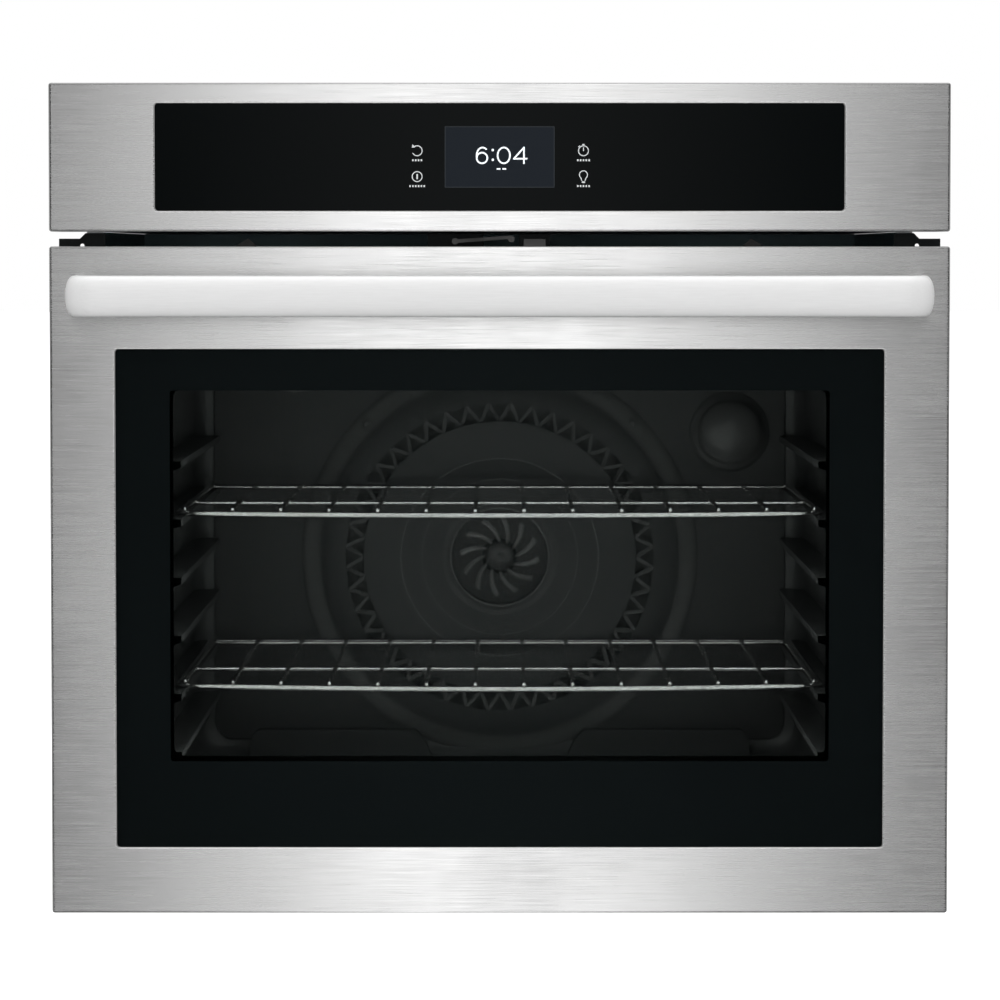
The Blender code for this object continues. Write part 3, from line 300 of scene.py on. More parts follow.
def clear_glass(name, tint, face_on):
    """Thin clear glass: a tinted share of light goes straight through, and more is reflected at a slant."""
    s = Shader(name)
    haze = s.noise(12.0, 4.0)
    through = s.node("ShaderNodeBsdfTransparent", {0: tint})
    shine = s.node("ShaderNodeBsdfGlossy", {"Color": (0.78, 1, 1, 1), "Roughness": s.ramp(haze, 0.02, 0.06)})
    facing = s.node("ShaderNodeLayerWeight", {"Blend": 0.5}).outputs["Facing"]
    slant = s.calculate("POWER", facing, 5.0)
    mixed = s.node("ShaderNodeMixShader", {0: s.ramp(slant, face_on, 1.0)})
    s.tree.links.new(through.outputs[0], mixed.inputs[1])
    s.tree.links.new(shine.outputs[0], mixed.inputs[2])
    s.tree.links.new(mixed.outputs[0], s.output.inputs[0])
    return s.owner


def black_glass(name, base, specular):
    """Glass printed solid black on its back face."""
    s = Shader(name)
    cloud = s.noise(7.0, 4.0)
    return s.surface(
        Base_Color=s.blend(cloud, inky(base * 0.9), inky(base * 1.1)),
        Roughness=s.ramp(cloud, 0.05, 0.1), Specular_IOR_Level=specular,
        Normal=s.bump(s.noise(3.0, 1.0), 0.05 * MM, 0.1, s.edge(0.3 * MM)),
    )


def glow(name, colour, strength, specular):
    """A lit or printed mark: its own colour with a little light of its own, which on a printed mark is a
    painted glow.
    """
    s = Shader(name)
    tone = s.blend(s.noise(80.0), colour, darker(colour, 0.93))
    return s.surface(
        Base_Color=tone, Roughness=0.4, Specular_IOR_Level=specular, Emission_Color=colour,
        Emission_Strength=strength,
    )


def fibrous(name, colour, depth):
    """Mineral wool, its fibres long along Y."""
    s = Shader(name)
    fibre = s.noise(1.0, 6.0, 0.75, (160, 48, 160), 1.5)
    tone = s.mottle(fibre, 0.3, 0.7, darker(colour, 0.6), colour)
    return s.surface(Base_Color=tone, Roughness=0.95, Normal=s.bump(fibre, depth, 0.8))


def braid(name):
    """Woven glass-fibre sleeve: crossed strands in two directions."""
    s = Shader(name)
    strands = []
    for direction in (1, -1):
        sockets = {"Vector": s.place((420, 420 * direction, 420)), "Scale": 0.5, "Distortion": 0.6}
        strands.append(s.node("ShaderNodeTexWave", sockets, bands_direction="DIAGONAL").outputs["Fac"])
    crossed = s.calculate("MAXIMUM", *strands)
    return s.surface(
        Base_Color=s.blend(crossed, grey(0.05), grey(0.26, 0.03)), Roughness=0.85,
        Normal=s.bump(crossed, 0.5 * MM, 0.8),
    )


def circuit_green(name):
    """A printed board's green lacquer over its tracks."""
    s = Shader(name)
    tracks = s.cells(260.0, "Distance", (1, 2.5, 1))
    tone = s.mottle(tracks, 0.2, 0.3, (0.02, 0.1, 0.045, 1), (0.035, 0.2, 0.08, 1))
    rough = s.ramp(tracks, 0.3, 0.5)
    return s.surface(Base_Color=tone, Roughness=rough, Normal=s.bump(tracks, 0.05 * MM, 0.4))


STEEL = brushed_steel("brushed_steel", 0.66, 0.25)
HANDLE = satin_steel("handle_steel", 0.93, 0.5, 0.25)
ZINC = galvanised("galvanised_steel")
ENAMEL = enamel("black_enamel", 0.045, 0.12)
SHELL_ENAMEL = enamel("shell_enamel", 0.075, 0.14)
# The fan cover's enamel carries painted highlights: paler on its sloping rings, rim and vent bars.
COVER_ENAMEL_PAINTED_SLOPES = enamel("cover_enamel_painted_slopes", 0.045, 0.12, 6.0)
FRAME_ENAMEL = enamel("frame_enamel", 0.02, 0.07)
PAINT = plastic("black_paint", 0.007, 0.42, specular=0.22, hue=inky)
DUCT_PAINT = plastic("duct_paint", 0.38, 0.5, specular=0.2, hue=inky)
TRIM_PLASTIC = plastic("black_plastic", 0.03, 0.42)
GREY_PLASTIC = plastic("grey_plastic", 0.12, 0.45)
CHROME = chrome("chrome_wire", 0.7)
LATCH_METAL = chrome("latch_metal", 0.11, 0.3)
SCREW_METAL = chrome("screw_metal", 0.6, 0.25)
DARK_SCREW = motor_metal("dark_screw_metal", 0.1)
FAN_METAL = motor_metal("fan_blade_metal", 0.5, 0.5)
HUB_METAL = motor_metal("fan_hub_metal", 0.06, 0.3)
MOTOR = motor_metal("motor_steel")
SHEATH = sheath("element_sheath")
WINDOW_GLASS = clear_glass("window_glass", (0.42, 0.42, 0.42, 1), 0.0008)
DOOR_GLASS = clear_glass("door_glass", (0.93, 0.95, 0.94, 1), 0.002)
LENS_GLASS = plastic("lamp_lens_glass", 0.12, 0.24)
WINDOW_PRINT = black_glass("window_print", 0.2, 0.02)
TOUCH_GLASS = black_glass("touch_glass", 0.003, 0.03)
DISPLAY = glow("display_backlight", (0.0135, 0.0165, 0.021, 1), 0.2, 0.02)
SCREEN_RIM = glow("display_edge", (0.03, 0.034, 0.038, 1), 0.2, 0.02)
DIGITS = glow("display_digits", (0.85, 0.9, 0.93, 1), 0.5, 0.2)
# Printed icons with a painted glow: they give off light although they are printed, not backlit.
ICONS_PAINTED_GLOW = glow("printed_icons_painted_glow", (0.62, 0.64, 0.65, 1), 0.25, 0.2)
BULB = glow("bulb_frosting", (0.8, 0.78, 0.7, 1), 0.0, 0.4)
WOOL = fibrous("insulation", (0.72, 0.63, 0.4, 1), 1.5 * MM)
DARK_WOOL = fibrous("insulation_facing", (0.05, 0.05, 0.048, 1), 1.0 * MM)
BRAID = braid("gasket_braid")
BOARD = circuit_green("circuit_board")


# ---------------------------------------------------------------- mesh helpers
def object_from(name, bm):
    mesh = bpy.data.meshes.new(name)
    bm.to_mesh(mesh)
    bm.free()
    obj = bpy.data.objects.new(name, mesh)
    bpy.context.scene.collection.objects.link(obj)
    return obj


def add_mesh(name, bm, body, finish, replaced=(), smooth_angle=32):
    """Turns a bmesh into a shown piece that moves with a body, in place of the CAD nodes named."""
    bmesh.ops.recalc_face_normals(bm, faces=bm.faces)
    obj = object_from(name, bm)
    obj.data.shade_smooth()
    obj.data.set_sharp_from_angle(angle=math.radians(smooth_angle))
    obj.data.materials.append(finish)
    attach(obj, body)
    if replaced:
        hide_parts(*replaced)
    return obj


def rounded_loop(half_w, low, high, radius, y, steps=4):
    """Points round a rectangle that is centred on x = 0, in the plane at y."""
    radius = max(radius, 0.05 * MM)
    points = []
    for side, z, first in ((1, low, -90), (1, high, 0), (-1, high, 90), (-1, low, 180)):
        centre_x = side * (half_w - radius)
        centre_z = z + radius if z == low else z - radius
        for turn in quarter_turn(steps):
            a = math.radians(first) + turn
            points.append(Vector((centre_x + radius * math.cos(a), y, centre_z + radius * math.sin(a))))
    return points


def loft(loops, closed=False, caps=False, bm=None):
    """Skins a row of loops with equal point counts. Closed joins the last loop to the first."""
    bm = bm or bmesh.new()
    rings = [[bm.verts.new(p) for p in loop] for loop in loops]
    pairs = list(zip(rings, rings[1:])) + ([(rings[-1], rings[0])] if closed else [])
    for one, two in pairs:
        for i in range(len(one)):
            bm.faces.new((one[i - 1], one[i], two[i], two[i - 1]))
    if caps:
        bm.faces.new(rings[0])
        bm.faces.new(rings[-1][::-1])
    return bm


def framed_loops(half_w, low, high, radius, steps):
    """Rounded rectangles pulled in by an amount at a depth, for each (inset, y) pair."""
    return [rounded_loop(half_w - inset, low + inset, high - inset, radius - inset, y) for inset, y in steps]


def stepped(face, *steps):
    """The (inset, y) pairs of an edge, from steps in millimetres: how far in, and how far behind a face."""
    return [(inset * MM, face + depth * MM) for inset, depth in steps]


def off_back_wall(points):
    """A (radius, y) profile from millimetres: each radius, and how far it stands out from the back wall."""
    return [(radius * MM, BACK_Y - out * MM) for radius, out in points]


def quarter_turn(steps):
    return [math.radians(90 * i / steps) for i in range(steps + 1)]


def full_turn(steps):
    return [2 * math.pi * i / steps for i in range(steps)]


def mirrored(points):
    """The same points on the other side of the object, in reverse order."""
    return [Vector((-p.x, p.y, p.z)) for p in reversed(points)]


def cut_boxes(obj, boxes):
    """Cuts boxes, each given as its x, y and z ranges, out of a piece and keeps the result as its mesh."""
    bm = bmesh.new()
    for ranges in boxes:
        for vert in bmesh.ops.create_cube(bm, size=1)["verts"]:
            vert.co = Vector([ends[0] if place < 0 else ends[1] for ends, place in zip(ranges, vert.co)])
    cutter = object_from("cutter", bm)
    modifier = obj.modifiers.new("cut", "BOOLEAN")
    modifier.object = cutter
    modifier.operation = "DIFFERENCE"
    bpy.context.view_layer.update()
    graph = bpy.context.evaluated_depsgraph_get()
    result = bpy.data.meshes.new_from_object(obj.evaluated_get(graph))
    obj.modifiers.remove(modifier)
    obj.data = result
    bpy.data.objects.remove(cutter)


def turned(profile, centre, steps=64, bm=None):
    """Spins (radius, y) points about the line along Y through centre. Ends on that line close up."""
    bm = bm or bmesh.new()
    rings = []
    for radius, along in profile:
        turns = full_turn(steps if radius > 1e-7 else 1)
        places = [centre + Vector((radius * math.cos(a), along, radius * math.sin(a))) for a in turns]
        rings.append([bm.verts.new(place) for place in places])
    for one, two in zip(rings, rings[1:]):
        for i in range(steps):
            corners = [one[(i - 1) % len(one)], one[i % len(one)], two[i % len(two)], two[(i - 1) % len(two)]]
            unique = list(dict.fromkeys(corners))
            if len(unique) > 2:
                bm.faces.new(unique)
    return bm


def smooth_path(corners, radius, steps=5):
    """Points along straight runs between corners, each inner corner turned on an arc."""
    path = [Vector(corners[0])]
    for before, corner, after in zip(corners, corners[1:], corners[2:]):
        corner = Vector(corner)
        into = (corner - Vector(before)).normalized()
        out = (Vector(after) - corner).normalized()
        trim = radius * math.tan(into.angle(out) / 2)
        start, end = corner - into * trim, corner + out * trim
        centre = start + (out - into * into.dot(out)).normalized() * radius
        for i in range(steps + 1):
            chord = start.lerp(end, i / steps) - centre
            path.append(centre + chord.normalized() * radius)
    path.append(Vector(corners[-1]))
    return path


def rod_into(bm, path, radius, sides=10, closed=False, round_ends=False):
    """A round bar along a path, with flat or domed ends."""
    count = len(path)
    rings = []
    side = None
    for i, place in enumerate(path):
        ahead = path[(i + 1) % count] if closed else path[min(i + 1, count - 1)]
        behind = path[i - 1] if closed or i else path[0]
        along = (ahead - behind).normalized()
        if side is None:
            side = along.cross(Vector((0, 0, 1)) if abs(along.z) < 0.9 else Vector((1, 0, 0))).normalized()
        else:
            side = (side - along * side.dot(along)).normalized()
        rings.append((place, along, side))

    def ring_at(place, along, side, size):
        up = along.cross(side)
        return [place + (side * math.cos(a) + up * math.sin(a)) * size for a in full_turn(sides)]

    loops = [ring_at(*ring, radius) for ring in rings]
    if round_ends:
        for (place, along, side), sign in ((rings[0], -1), (rings[-1], 1)):
            domes = [
                ring_at(place + along * sign * radius * math.sin(a), along, side, radius * math.cos(a))
                for a in (math.radians(35), math.radians(65))
            ]
            loops = domes[::-1] + loops if sign < 0 else loops + domes
    loft(loops, closed=closed, caps=not closed, bm=bm)


def screw_into(bm, place, normal, radius):
    """A pan-head screw with a cross recess, its seat at place, facing along normal."""
    height = 1.8 * MM
    arm, root, bottom = 0.5952, 0.1632, 0.45  # of the recess, as shares of the head's radius and height
    loops = []
    for share, level in ((1.0, 0.0), (1.0, 0.45), (0.94, 0.72), (0.8, 0.92), (0.68, 1.0)):
        r = radius * share
        loops.append([Vector((r * math.cos(a), -height * level, r * math.sin(a))) for a in full_turn(24)])
    quarter = ((arm, 0), (arm, root), (root, root), (root, root), (root, root), (root, arm))
    for depth in (1.0, bottom):
        cross = []
        for a in full_turn(4):
            for u, v in quarter:
                x, z = u * math.cos(a) - v * math.sin(a), u * math.sin(a) + v * math.cos(a)
                cross.append(Vector((radius * x, -height * depth, radius * z)))
        loops.append(cross)
    head = loft(loops, caps=True)
    bmesh.ops.remove_doubles(head, verts=head.verts, dist=1e-6)
    facing = Vector((0, -1, 0)).rotation_difference(Vector(normal)).to_matrix().to_4x4()
    bmesh.ops.transform(head, matrix=Matrix.Translation(place) @ facing, verts=head.verts)
    mesh = bpy.data.meshes.new("screw")
    head.to_mesh(mesh)
    head.free()
    bm.from_mesh(mesh)
    bpy.data.meshes.remove(mesh)


def add_screws(name, body, places, normal, finish=SCREW_METAL, radius=3.6 * MM):
    bm = bmesh.new()
    for place in places:
        screw_into(bm, Vector(place), normal, radius)
    add_mesh(name, bm, body, finish)


def both(*names):
    return [f"{name}_{side}" for name in names for side in ("left", "right")]


def finish_node(material, *nodes):
    """Gives CAD pieces a better material."""
    for node in nodes:
        slots = frame["nodes"][node].data.materials
        slots.clear()
        slots.append(material)


# ---------------------------------------------------------------- control panel
MARK_FRONT = 0.06 * MM  # how far a mark's front and back stand off the glass
MARK_BACK = 0.01 * MM


def folded_sheet(low, high, opening):
    """A steel front with bent edges that turn back, and an opening whose cut edge has a fine bright bevel."""
    face, back = low.y, high.y
    bent = stepped(face, (2.2, 0), (1.6, 0), (0.8, 0.12), (0.25, 0.5), (0, 1.2))
    turned_back = [(0, back), (SHEET, back), (SHEET, face + SHEET)]
    bright_cut = [(0, face + SHEET)] + stepped(face, (0, 0.7), (-0.7, 0.1), (-1, 0), (-1.5, 0))
    outer = framed_loops(high.x, low.z, high.z, 2.2 * MM, bent + turned_back)
    return loft(outer + framed_loops(*opening, 3 * MM, bright_cut), closed=True)


def bonded_pane(low, high, opening, face, back):
    """Glass that stands in an opening just behind a steel face, and runs on behind the steel."""
    front = low.y
    raised = framed_loops(*opening, 3 * MM, stepped(face, (0.8, 0.3), (0.5, 0.6)) + [(0.5 * MM, front)])
    pane = framed_loops(high.x, low.z, high.z, 2 * MM, stepped(front, (0.3, 0), (0, 0.3)) + [(0, back)])
    return loft(raised + pane, caps=True)


def make_control_panel():
    """The steel front with its glass strip. Gives the y of the glass."""
    face = PANEL_LOW.y
    shell = folded_sheet(PANEL_LOW, PANEL_HIGH, TOUCH)
    add_mesh("control_panel_shell", shell, "chassis", STEEL, ["control_panel"])
    strip = bonded_pane(TOUCH_LOW, TOUCH_HIGH, TOUCH, face, TOUCH_HIGH.y)
    add_mesh("touch_glass", strip, "chassis", TOUCH_GLASS, ["control_glass"])
    return face + 0.3 * MM


def make_panel_back():
    """A plate that closes the panel's back where it stands above and beside the body."""
    inset, lap = SHEET + 0.2 * MM, 2 * MM
    wide, top, low = PANEL_HIGH.x - inset, PANEL_HIGH.z - inset, PANEL_LOW.z + inset
    body_x, body_top = SIDE_HIGH.x - lap, TOP_HIGH.z - lap
    right = [(body_x, body_top), (body_x, low), (wide, low), (wide, top)]
    outline = right + [(-x, z) for x, z in reversed(right)]
    back = PANEL_HIGH.y - 0.3 * MM
    loops = [[Vector((x, y, z)) for x, z in outline] for y in (back - SHEET, back)]
    add_mesh("control_panel_back_plate", loft(loops, caps=True), "chassis", ZINC)


class Marks:
    """Thin raised marks on glass at y. Their points are (x, z) in millimetres from an origin in metres."""

    def __init__(self, y):
        self.bm = bmesh.new()
        self.y = y
        self.origin = (0, 0)

    def shape(self, outline, lift=0.0):
        x, z = self.origin
        depths = (self.y - lift - MARK_FRONT, self.y - lift - MARK_BACK)
        loft([[(x + a * MM, y, z + b * MM) for a, b in outline] for y in depths], caps=True, bm=self.bm)

    def bar(self, x, z, width, height):
        self.shape([(x, z), (x + width, z), (x + width, z + height), (x, z + height)])

    def dot(self, centre, radius, lift=0.0):
        self.shape(ring_points(centre, radius, radius, 0, 360, 14)[:-1], lift)

    def line(self, points, width):
        """A stroke of even width through points, with round ends."""
        spots = [Vector(p) for p in points]
        left, right = [], []
        for i, place in enumerate(spots):
            along = (spots[min(i + 1, len(spots) - 1)] - spots[max(i - 1, 0)]).normalized()
            side = Vector((-along.y, along.x)) * width / 2
            left.append(place + side)
            right.append(place - side)
        for i in range(len(spots) - 1):
            self.shape([right[i], right[i + 1], left[i + 1], left[i]])
        for end in (spots[0], spots[-1]):
            self.dot(end, width / 2, 0.004 * MM)


def ring_points(centre, wide, tall, first, last, steps):
    """Points along an elliptic arc between two angles in degrees."""
    angles = [math.radians(first + (last - first) * i / steps) for i in range(steps + 1)]
    return [(centre[0] + wide * math.cos(a), centre[1] + tall * math.sin(a)) for a in angles]


def make_clock(y):
    """The time in thin round figures, from the lower left of the first one, over its two dashes."""
    marks = Marks(y)
    marks.origin = (-19.4 * MM, SCREEN[1] + 20.5 * MM)
    tall, pen, r = 13.3, 1.35, 4.5
    middle = tall / 2
    marks.line(ring_points((r, r), r, r, 0, 360, 28), pen)
    marks.line(ring_points((1.1 * r, middle), 1.1 * r, middle, 52, 196, 18), pen)
    for height in (3.0, 11.2):
        marks.dot((13.6, height), 1.05)
    marks.line(ring_points((22.9, middle), 5.2, middle, 0, 360, 36), pen)
    stem, foot, tip, overhang = 39.9, 3.9, 31.4, 2.3
    strokes = ([(stem, 0), (stem, tall)], [(stem, tall), (tip, foot)], [(tip, foot), (stem + overhang, foot)])
    for stroke in strokes:
        marks.line(stroke, pen)
    marks.origin = (0, SCREEN[1] + 15.2 * MM)
    for x in (-2.5, 2.3):
        marks.bar(x, 0, 3.2, 1.2)
    return marks.bm


def make_symbols(y):
    """A back arrow, a power mark, a timer and a bulb, each over a row of dashes that stands for its word."""
    marks = Marks(y)
    left, right = -69.7 * MM, 70.8 * MM
    upper, lower = TOUCH[2] - 40.1 * MM, TOUCH[2] - 61.9 * MM
    r, pen = 4.2, 0.75

    def dashes(count):
        for i in range(count):
            marks.bar((i - (count - 1) / 2) * 2.4 - 0.65, -8.8, 1.3, 1.6)

    marks.origin = (left, upper)
    marks.line(ring_points((0, 0), r, r, 130, -150, 26), pen)
    marks.shape([(-4.4, 2.6), (-1.6, 2.8), (-3.9, 5.6)])
    dashes(4)
    marks.origin = (left, lower)
    marks.line(ring_points((0, 0), r, r, 0, 360, 30), pen)
    marks.line([(0, -1.6), (0, 1.6)], 1.3)
    dashes(6)
    marks.origin = (right, upper)
    marks.line(ring_points((0, 0), r, r, 0, 360, 30), pen)
    marks.line([(0, 0), (0, 2.6)], pen)
    marks.bar(-0.9, 4.8, 1.8, 0.9)
    marks.line([(-4.1, 3.3), (-3.3, 4.1)], 0.7)
    dashes(5)
    marks.origin = (right, lower)
    marks.line([(1.4, -3.2), *ring_points((0, 1.5), 3.4, 3.4, -50, 230, 22), (-1.4, -3.2)], pen)
    marks.bar(-1.4, -5.3, 2.8, 1.3)
    dashes(5)
    return marks.bm


def make_display(glass_y):
    """The lit screen with its clock, and the printed touch symbols beside it."""
    half_w, low, high = SCREEN
    wide = 0.7 * MM
    on_screen, on_glass = glass_y - 0.08 * MM, glass_y - 0.01 * MM
    rim = framed_loops(
        half_w, low, high, 0.6 * MM, [(0, on_glass), (0, on_screen), (wide, on_screen), (wide, on_glass)]
    )
    add_mesh("display_rim", loft(rim, closed=True), "chassis", SCREEN_RIM)
    pane = framed_loops(half_w - wide, low + wide, high - wide, 0.4 * MM, [(0, on_screen), (0, on_glass)])
    add_mesh("display_window", loft(pane, caps=True), "chassis", DISPLAY)
    add_mesh("display_clock", make_clock(on_screen - 0.01 * MM), "chassis", DIGITS)
    add_mesh("printed_symbols", make_symbols(glass_y), "chassis", ICONS_PAINTED_GLOW)


# ---------------------------------------------------------------- door
def hinge_slots(y_range, z_range):
    """Boxes that clear the two hinge arms, over a range of depth and height."""
    slots = []
    for name in both("hinge_arm"):
        arm_low, arm_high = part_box(name)
        x = (arm_low.x + arm_high.x) / 2
        slots.append(((x - 5 * MM, x + 5 * MM), y_range, z_range))
    return slots


def make_door_skin():
    low, high, back = SKIN_LOW.z, SKIN_HIGH.z, SKIN_HIGH.y + 1 * MM
    sheet = folded_sheet(SKIN_LOW, SKIN_HIGH, WINDOW)
    skin = add_mesh("door_skin_panel", sheet, "door", STEEL, ["door_skin"])
    trim_low, trim_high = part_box("door_top_trim")
    trim_room = (
        (trim_low.x - 1 * MM, trim_high.x + 1 * MM), (trim_low.y - 0.3 * MM, back),
        (trim_low.z - 1 * MM, high + 1 * MM),
    )
    cut_boxes(skin, [trim_room] + hinge_slots((HINGE.y - 9 * MM, back), (low - 1 * MM, low + 4 * MM)))


def make_window():
    """The dark outer pane, with its border printed on the back."""
    back, print_y = PANE_HIGH.y, PANE_HIGH.y - 0.15 * MM
    pane = bonded_pane(PANE_LOW, PANE_HIGH, WINDOW, FACE_Y, back - 0.2 * MM)
    add_mesh("window_pane", pane, "door", WINDOW_GLASS, ["door_outer_glass"])
    ring = framed_loops(PANE_HIGH.x, PANE_LOW.z, PANE_HIGH.z, 2 * MM, [(0, print_y), (0, back)])
    sight = framed_loops(*SIGHT, 3 * MM, [(0, back), (0, print_y)])
    add_mesh("window_print_border", loft(ring + sight, closed=True), "door", WINDOW_PRINT)


def make_liner():
    """The door's inner panel: a flat rim, a shallow raised land and a turned-in lip round the inner glass."""
    back, front = LINER_HIGH.y, LINER_LOW.y
    half_w, low, high = LINER_HIGH.x, LINER_LOW.z, LINER_HIGH.z
    rim, land = 34, 36  # millimetres
    rim_steps = stepped(
        back, (0, -0.9), (0.9, -0.55), (rim, -0.55), (rim + 2, 0), (rim + land, 0), (rim + land + 2, -0.5)
    )
    lip_steps = stepped(back, (-5, -0.5), (-3, 0), (-1.2, -0.1), (0, -0.6))
    loops = framed_loops(half_w, low, high, 3 * MM, [(0, front)] + rim_steps)
    loops += framed_loops(*SIGHT, 8 * MM, lip_steps + [(0, front)])
    liner = add_mesh("door_inner_panel", loft(loops, closed=True), "door", FRAME_ENAMEL, ["door_liner"])
    cut_boxes(liner, hinge_slots((front - 1 * MM, back + 1 * MM), (low - 1 * MM, low + 22 * MM)))
    edge, seat = 14 * MM, back - 1.6 * MM
    heights = (low + 40 * MM, (low + high) / 2, high - edge)
    places = [(side * (half_w - edge), seat, z) for side in (-1, 1) for z in heights]
    places += [(x * half_w, seat, z) for x in (-0.45, 0.45) for z in (low + edge, high - edge)]
    add_screws("liner_screws", "door", places, (0, 1, 0), SCREW_METAL, 3.2 * MM)


def make_handle():
    """A wide, slightly bowed bar with an oval section, whose ends curl back into the door."""
    deep, tall = 15 * MM / 2, (HANDLE_HIGH.z - HANDLE_LOW.z) / 2
    centre_z = (HANDLE_HIGH.z + HANDLE_LOW.z) / 2
    bow, bend, leg = 5.5 * MM, 18 * MM, 8 * MM
    leg_x = HANDLE_HIGH.x - deep
    end_y = HANDLE_LOW.y + deep + bow
    run = leg_x - bend
    left = [Vector((-leg_x, HANDLE_HIGH.y, centre_z)), Vector((-leg_x, end_y + bend + leg, centre_z))]
    for a in quarter_turn(12):
        left.append(Vector((-leg_x + bend * (1 - math.cos(a)), end_y + bend * (1 - math.sin(a)), centre_z)))
    along_bar = [run * (i / 16 - 1) for i in range(1, 32)]
    middle = [Vector((x, end_y - bow * (1 - (x / run) ** 2), centre_z)) for x in along_bar]
    path = left + middle + mirrored(left)
    loops = []
    for i, place in enumerate(path):
        ahead, behind = path[min(i + 1, len(path) - 1)], path[max(i - 1, 0)]
        along = (ahead - behind).normalized()
        outward = Vector((along.y, -along.x, 0))
        end_share = abs(outward.x)  # 0 along the bar, 1 on the legs, whose outer corners are rounder
        loop = []
        for a in full_turn(40):
            across, up = math.cos(a), math.sin(a)
            u = math.copysign(abs(across) ** (2 / (3.0 - end_share)), across) * deep
            v = math.copysign(abs(up) ** (2 / (3.0 - 0.7 * end_share)), up) * tall
            loop.append(place + outward * u + Vector((0, 0, v)))
        loops.append(loop)
    add_mesh("handle_bar", loft(loops, caps=True), "door", HANDLE, ["door_handle"], 50)


# ---------------------------------------------------------------- cavity
def make_cavity_shell():
    """The pressed inner box with round corners, over the flat cavity walls."""
    skin, hem = 1.0 * MM, 0.3 * MM
    front, back = FRAME_HIGH.y + 0.5 * MM, BACK_Y - 0.4 * MM
    corner, bend = 32 * MM, 20 * MM

    def round_box(inset, y, radius):
        return rounded_loop(CAVITY_HALF_W - inset, CAVITY_FLOOR + inset, CAVITY_TOP - inset, radius, y, 8)

    inside = [(skin, front), (skin, back - bend)]
    for a in quarter_turn(6)[1:]:
        inside.append((skin + bend * (1 - math.cos(a)), back - bend * (1 - math.sin(a))))
    loops = [round_box(inset, y, corner - inset * 0.7) for inset, y in inside]
    loops += [round_box(hem, y, corner) for y in (back, front)]
    add_mesh("cavity_round_shell", loft(loops, closed=True), "chassis", SHELL_ENAMEL, (), 50)


def make_fan_cover():
    """A stamped cover: an open mouth, two shallow steps, a ring of triangular vents and a sloping rim."""
    centre = Vector((FAN.x, 0, FAN.z))
    radius = (COVER_HIGH.x - COVER_LOW.x) / 2 / MM
    wall, vent_in, vent_out, level = 1.4 * MM, 133, 150, 21.7  # the vents' radii and level in millimetres
    dish = [
        (49, 14), (47, 16), (47, 18), (48.5, 19.5), (52, 19.5), (55, 17.5), (57, 16.2), (73, 16.2),
        (75.5, 17), (76.5, 18.6), (78, 19.2), (94, 19.2), (96, 20), (97, 21.2), (98.5, level),
        (vent_in, level),
    ]
    rim = [(vent_out, level), (172, 21.0), (175, 20.2), (178, 18), (189, 5), (191, 3), (radius, 1.8)]
    bm = bmesh.new()
    for heights in (dish, rim):
        outside = off_back_wall(heights)
        turned(outside + [(r, y + wall) for r, y in reversed(outside)] + [outside[0]], centre, 96, bm)
    plane, cells = BACK_Y - level * MM, 44
    inner, outer = (vent_in - 0.5) * MM, (vent_out + 0.5) * MM
    # The vent bars are tilted so that the painted slope highlight makes them paler.
    depth, tilt = Vector((0, 1.3 * MM, 0)), Vector((0, 2.4 * MM, 0))
    for first in full_turn(cells):
        last = first + 2 * math.pi / cells
        ends = [
            centre + Vector((r * math.cos(a), plane, r * math.sin(a)))
            for r, a in ((inner, first), (outer, (first + last) / 2), (inner, last))
        ]
        for start, end in zip(ends, ends[1:]):
            side = (end - start).normalized().cross(Vector((0, 1, 0))) * 1.9 * MM
            corners = [start - side, end - side, end + side + tilt, start + side + tilt]
            loft([corners, [c + depth for c in corners]], caps=True, bm=bm)
    add_mesh("fan_cover_pressing", bm, "chassis", COVER_ENAMEL_PAINTED_SLOPES, ["fan_cover"], 28)
    screw_r, seat = 183 * MM, BACK_Y - 12 * MM
    turns = [math.radians(d) for d in (45, 135, 225, 315)]
    screws = [centre + Vector((screw_r * math.cos(a), seat, screw_r * math.sin(a))) for a in turns]
    add_screws("fan_cover_screws", "chassis", screws, (0, -1, 0), DARK_SCREW, 4 * MM)


def make_fan():
    """A domed hub and a dozen swept, folded blades. The disc with vanes behind them keeps its CAD shape."""
    plane = FAN.y - 1.0 * MM
    centre = Vector((FAN.x, 0, FAN.z))
    hub = stepped(
        plane, (0, -6.2), (1.8, -6.4), (3.2, -7), (6, -7), (11, -6.4), (14, -5.2), (15, -3.6), (15, -1),
        (0, -1),
    )
    add_mesh("fan_hub", turned(hub, centre, 48), "fan", HUB_METAL, (), 35)
    fold = ((-1, -2.2), (0, -4.6), (1, -2.2), (1, -1.4), (0, -3.7), (-1, -1.4))  # side, rise in millimetres
    bm = bmesh.new()
    for angle in full_turn(12):
        turn = Matrix.Rotation(angle, 4, "Y")
        loops = []
        for share in (k / 5 for k in range(6)):
            r, half = (14 + 24.5 * share) * MM, (1.5 + 1.3 * share) * MM
            sweep = math.radians(26) * share
            spine = Vector((r * math.cos(sweep), 0, r * math.sin(sweep)))
            across = Vector((-math.sin(sweep + 0.35), 0, math.cos(sweep + 0.35))) * half
            section = [spine + across * side + Vector((0, rise * MM, 0)) for side, rise in fold]
            loops.append([centre + Vector((0, plane, 0)) + turn @ p for p in section])
        loft(loops, caps=True, bm=bm)
    add_mesh("fan_blades", bm, "fan", FAN_METAL, (), 35)
    finish_node(FRAME_ENAMEL, "convection_fan")


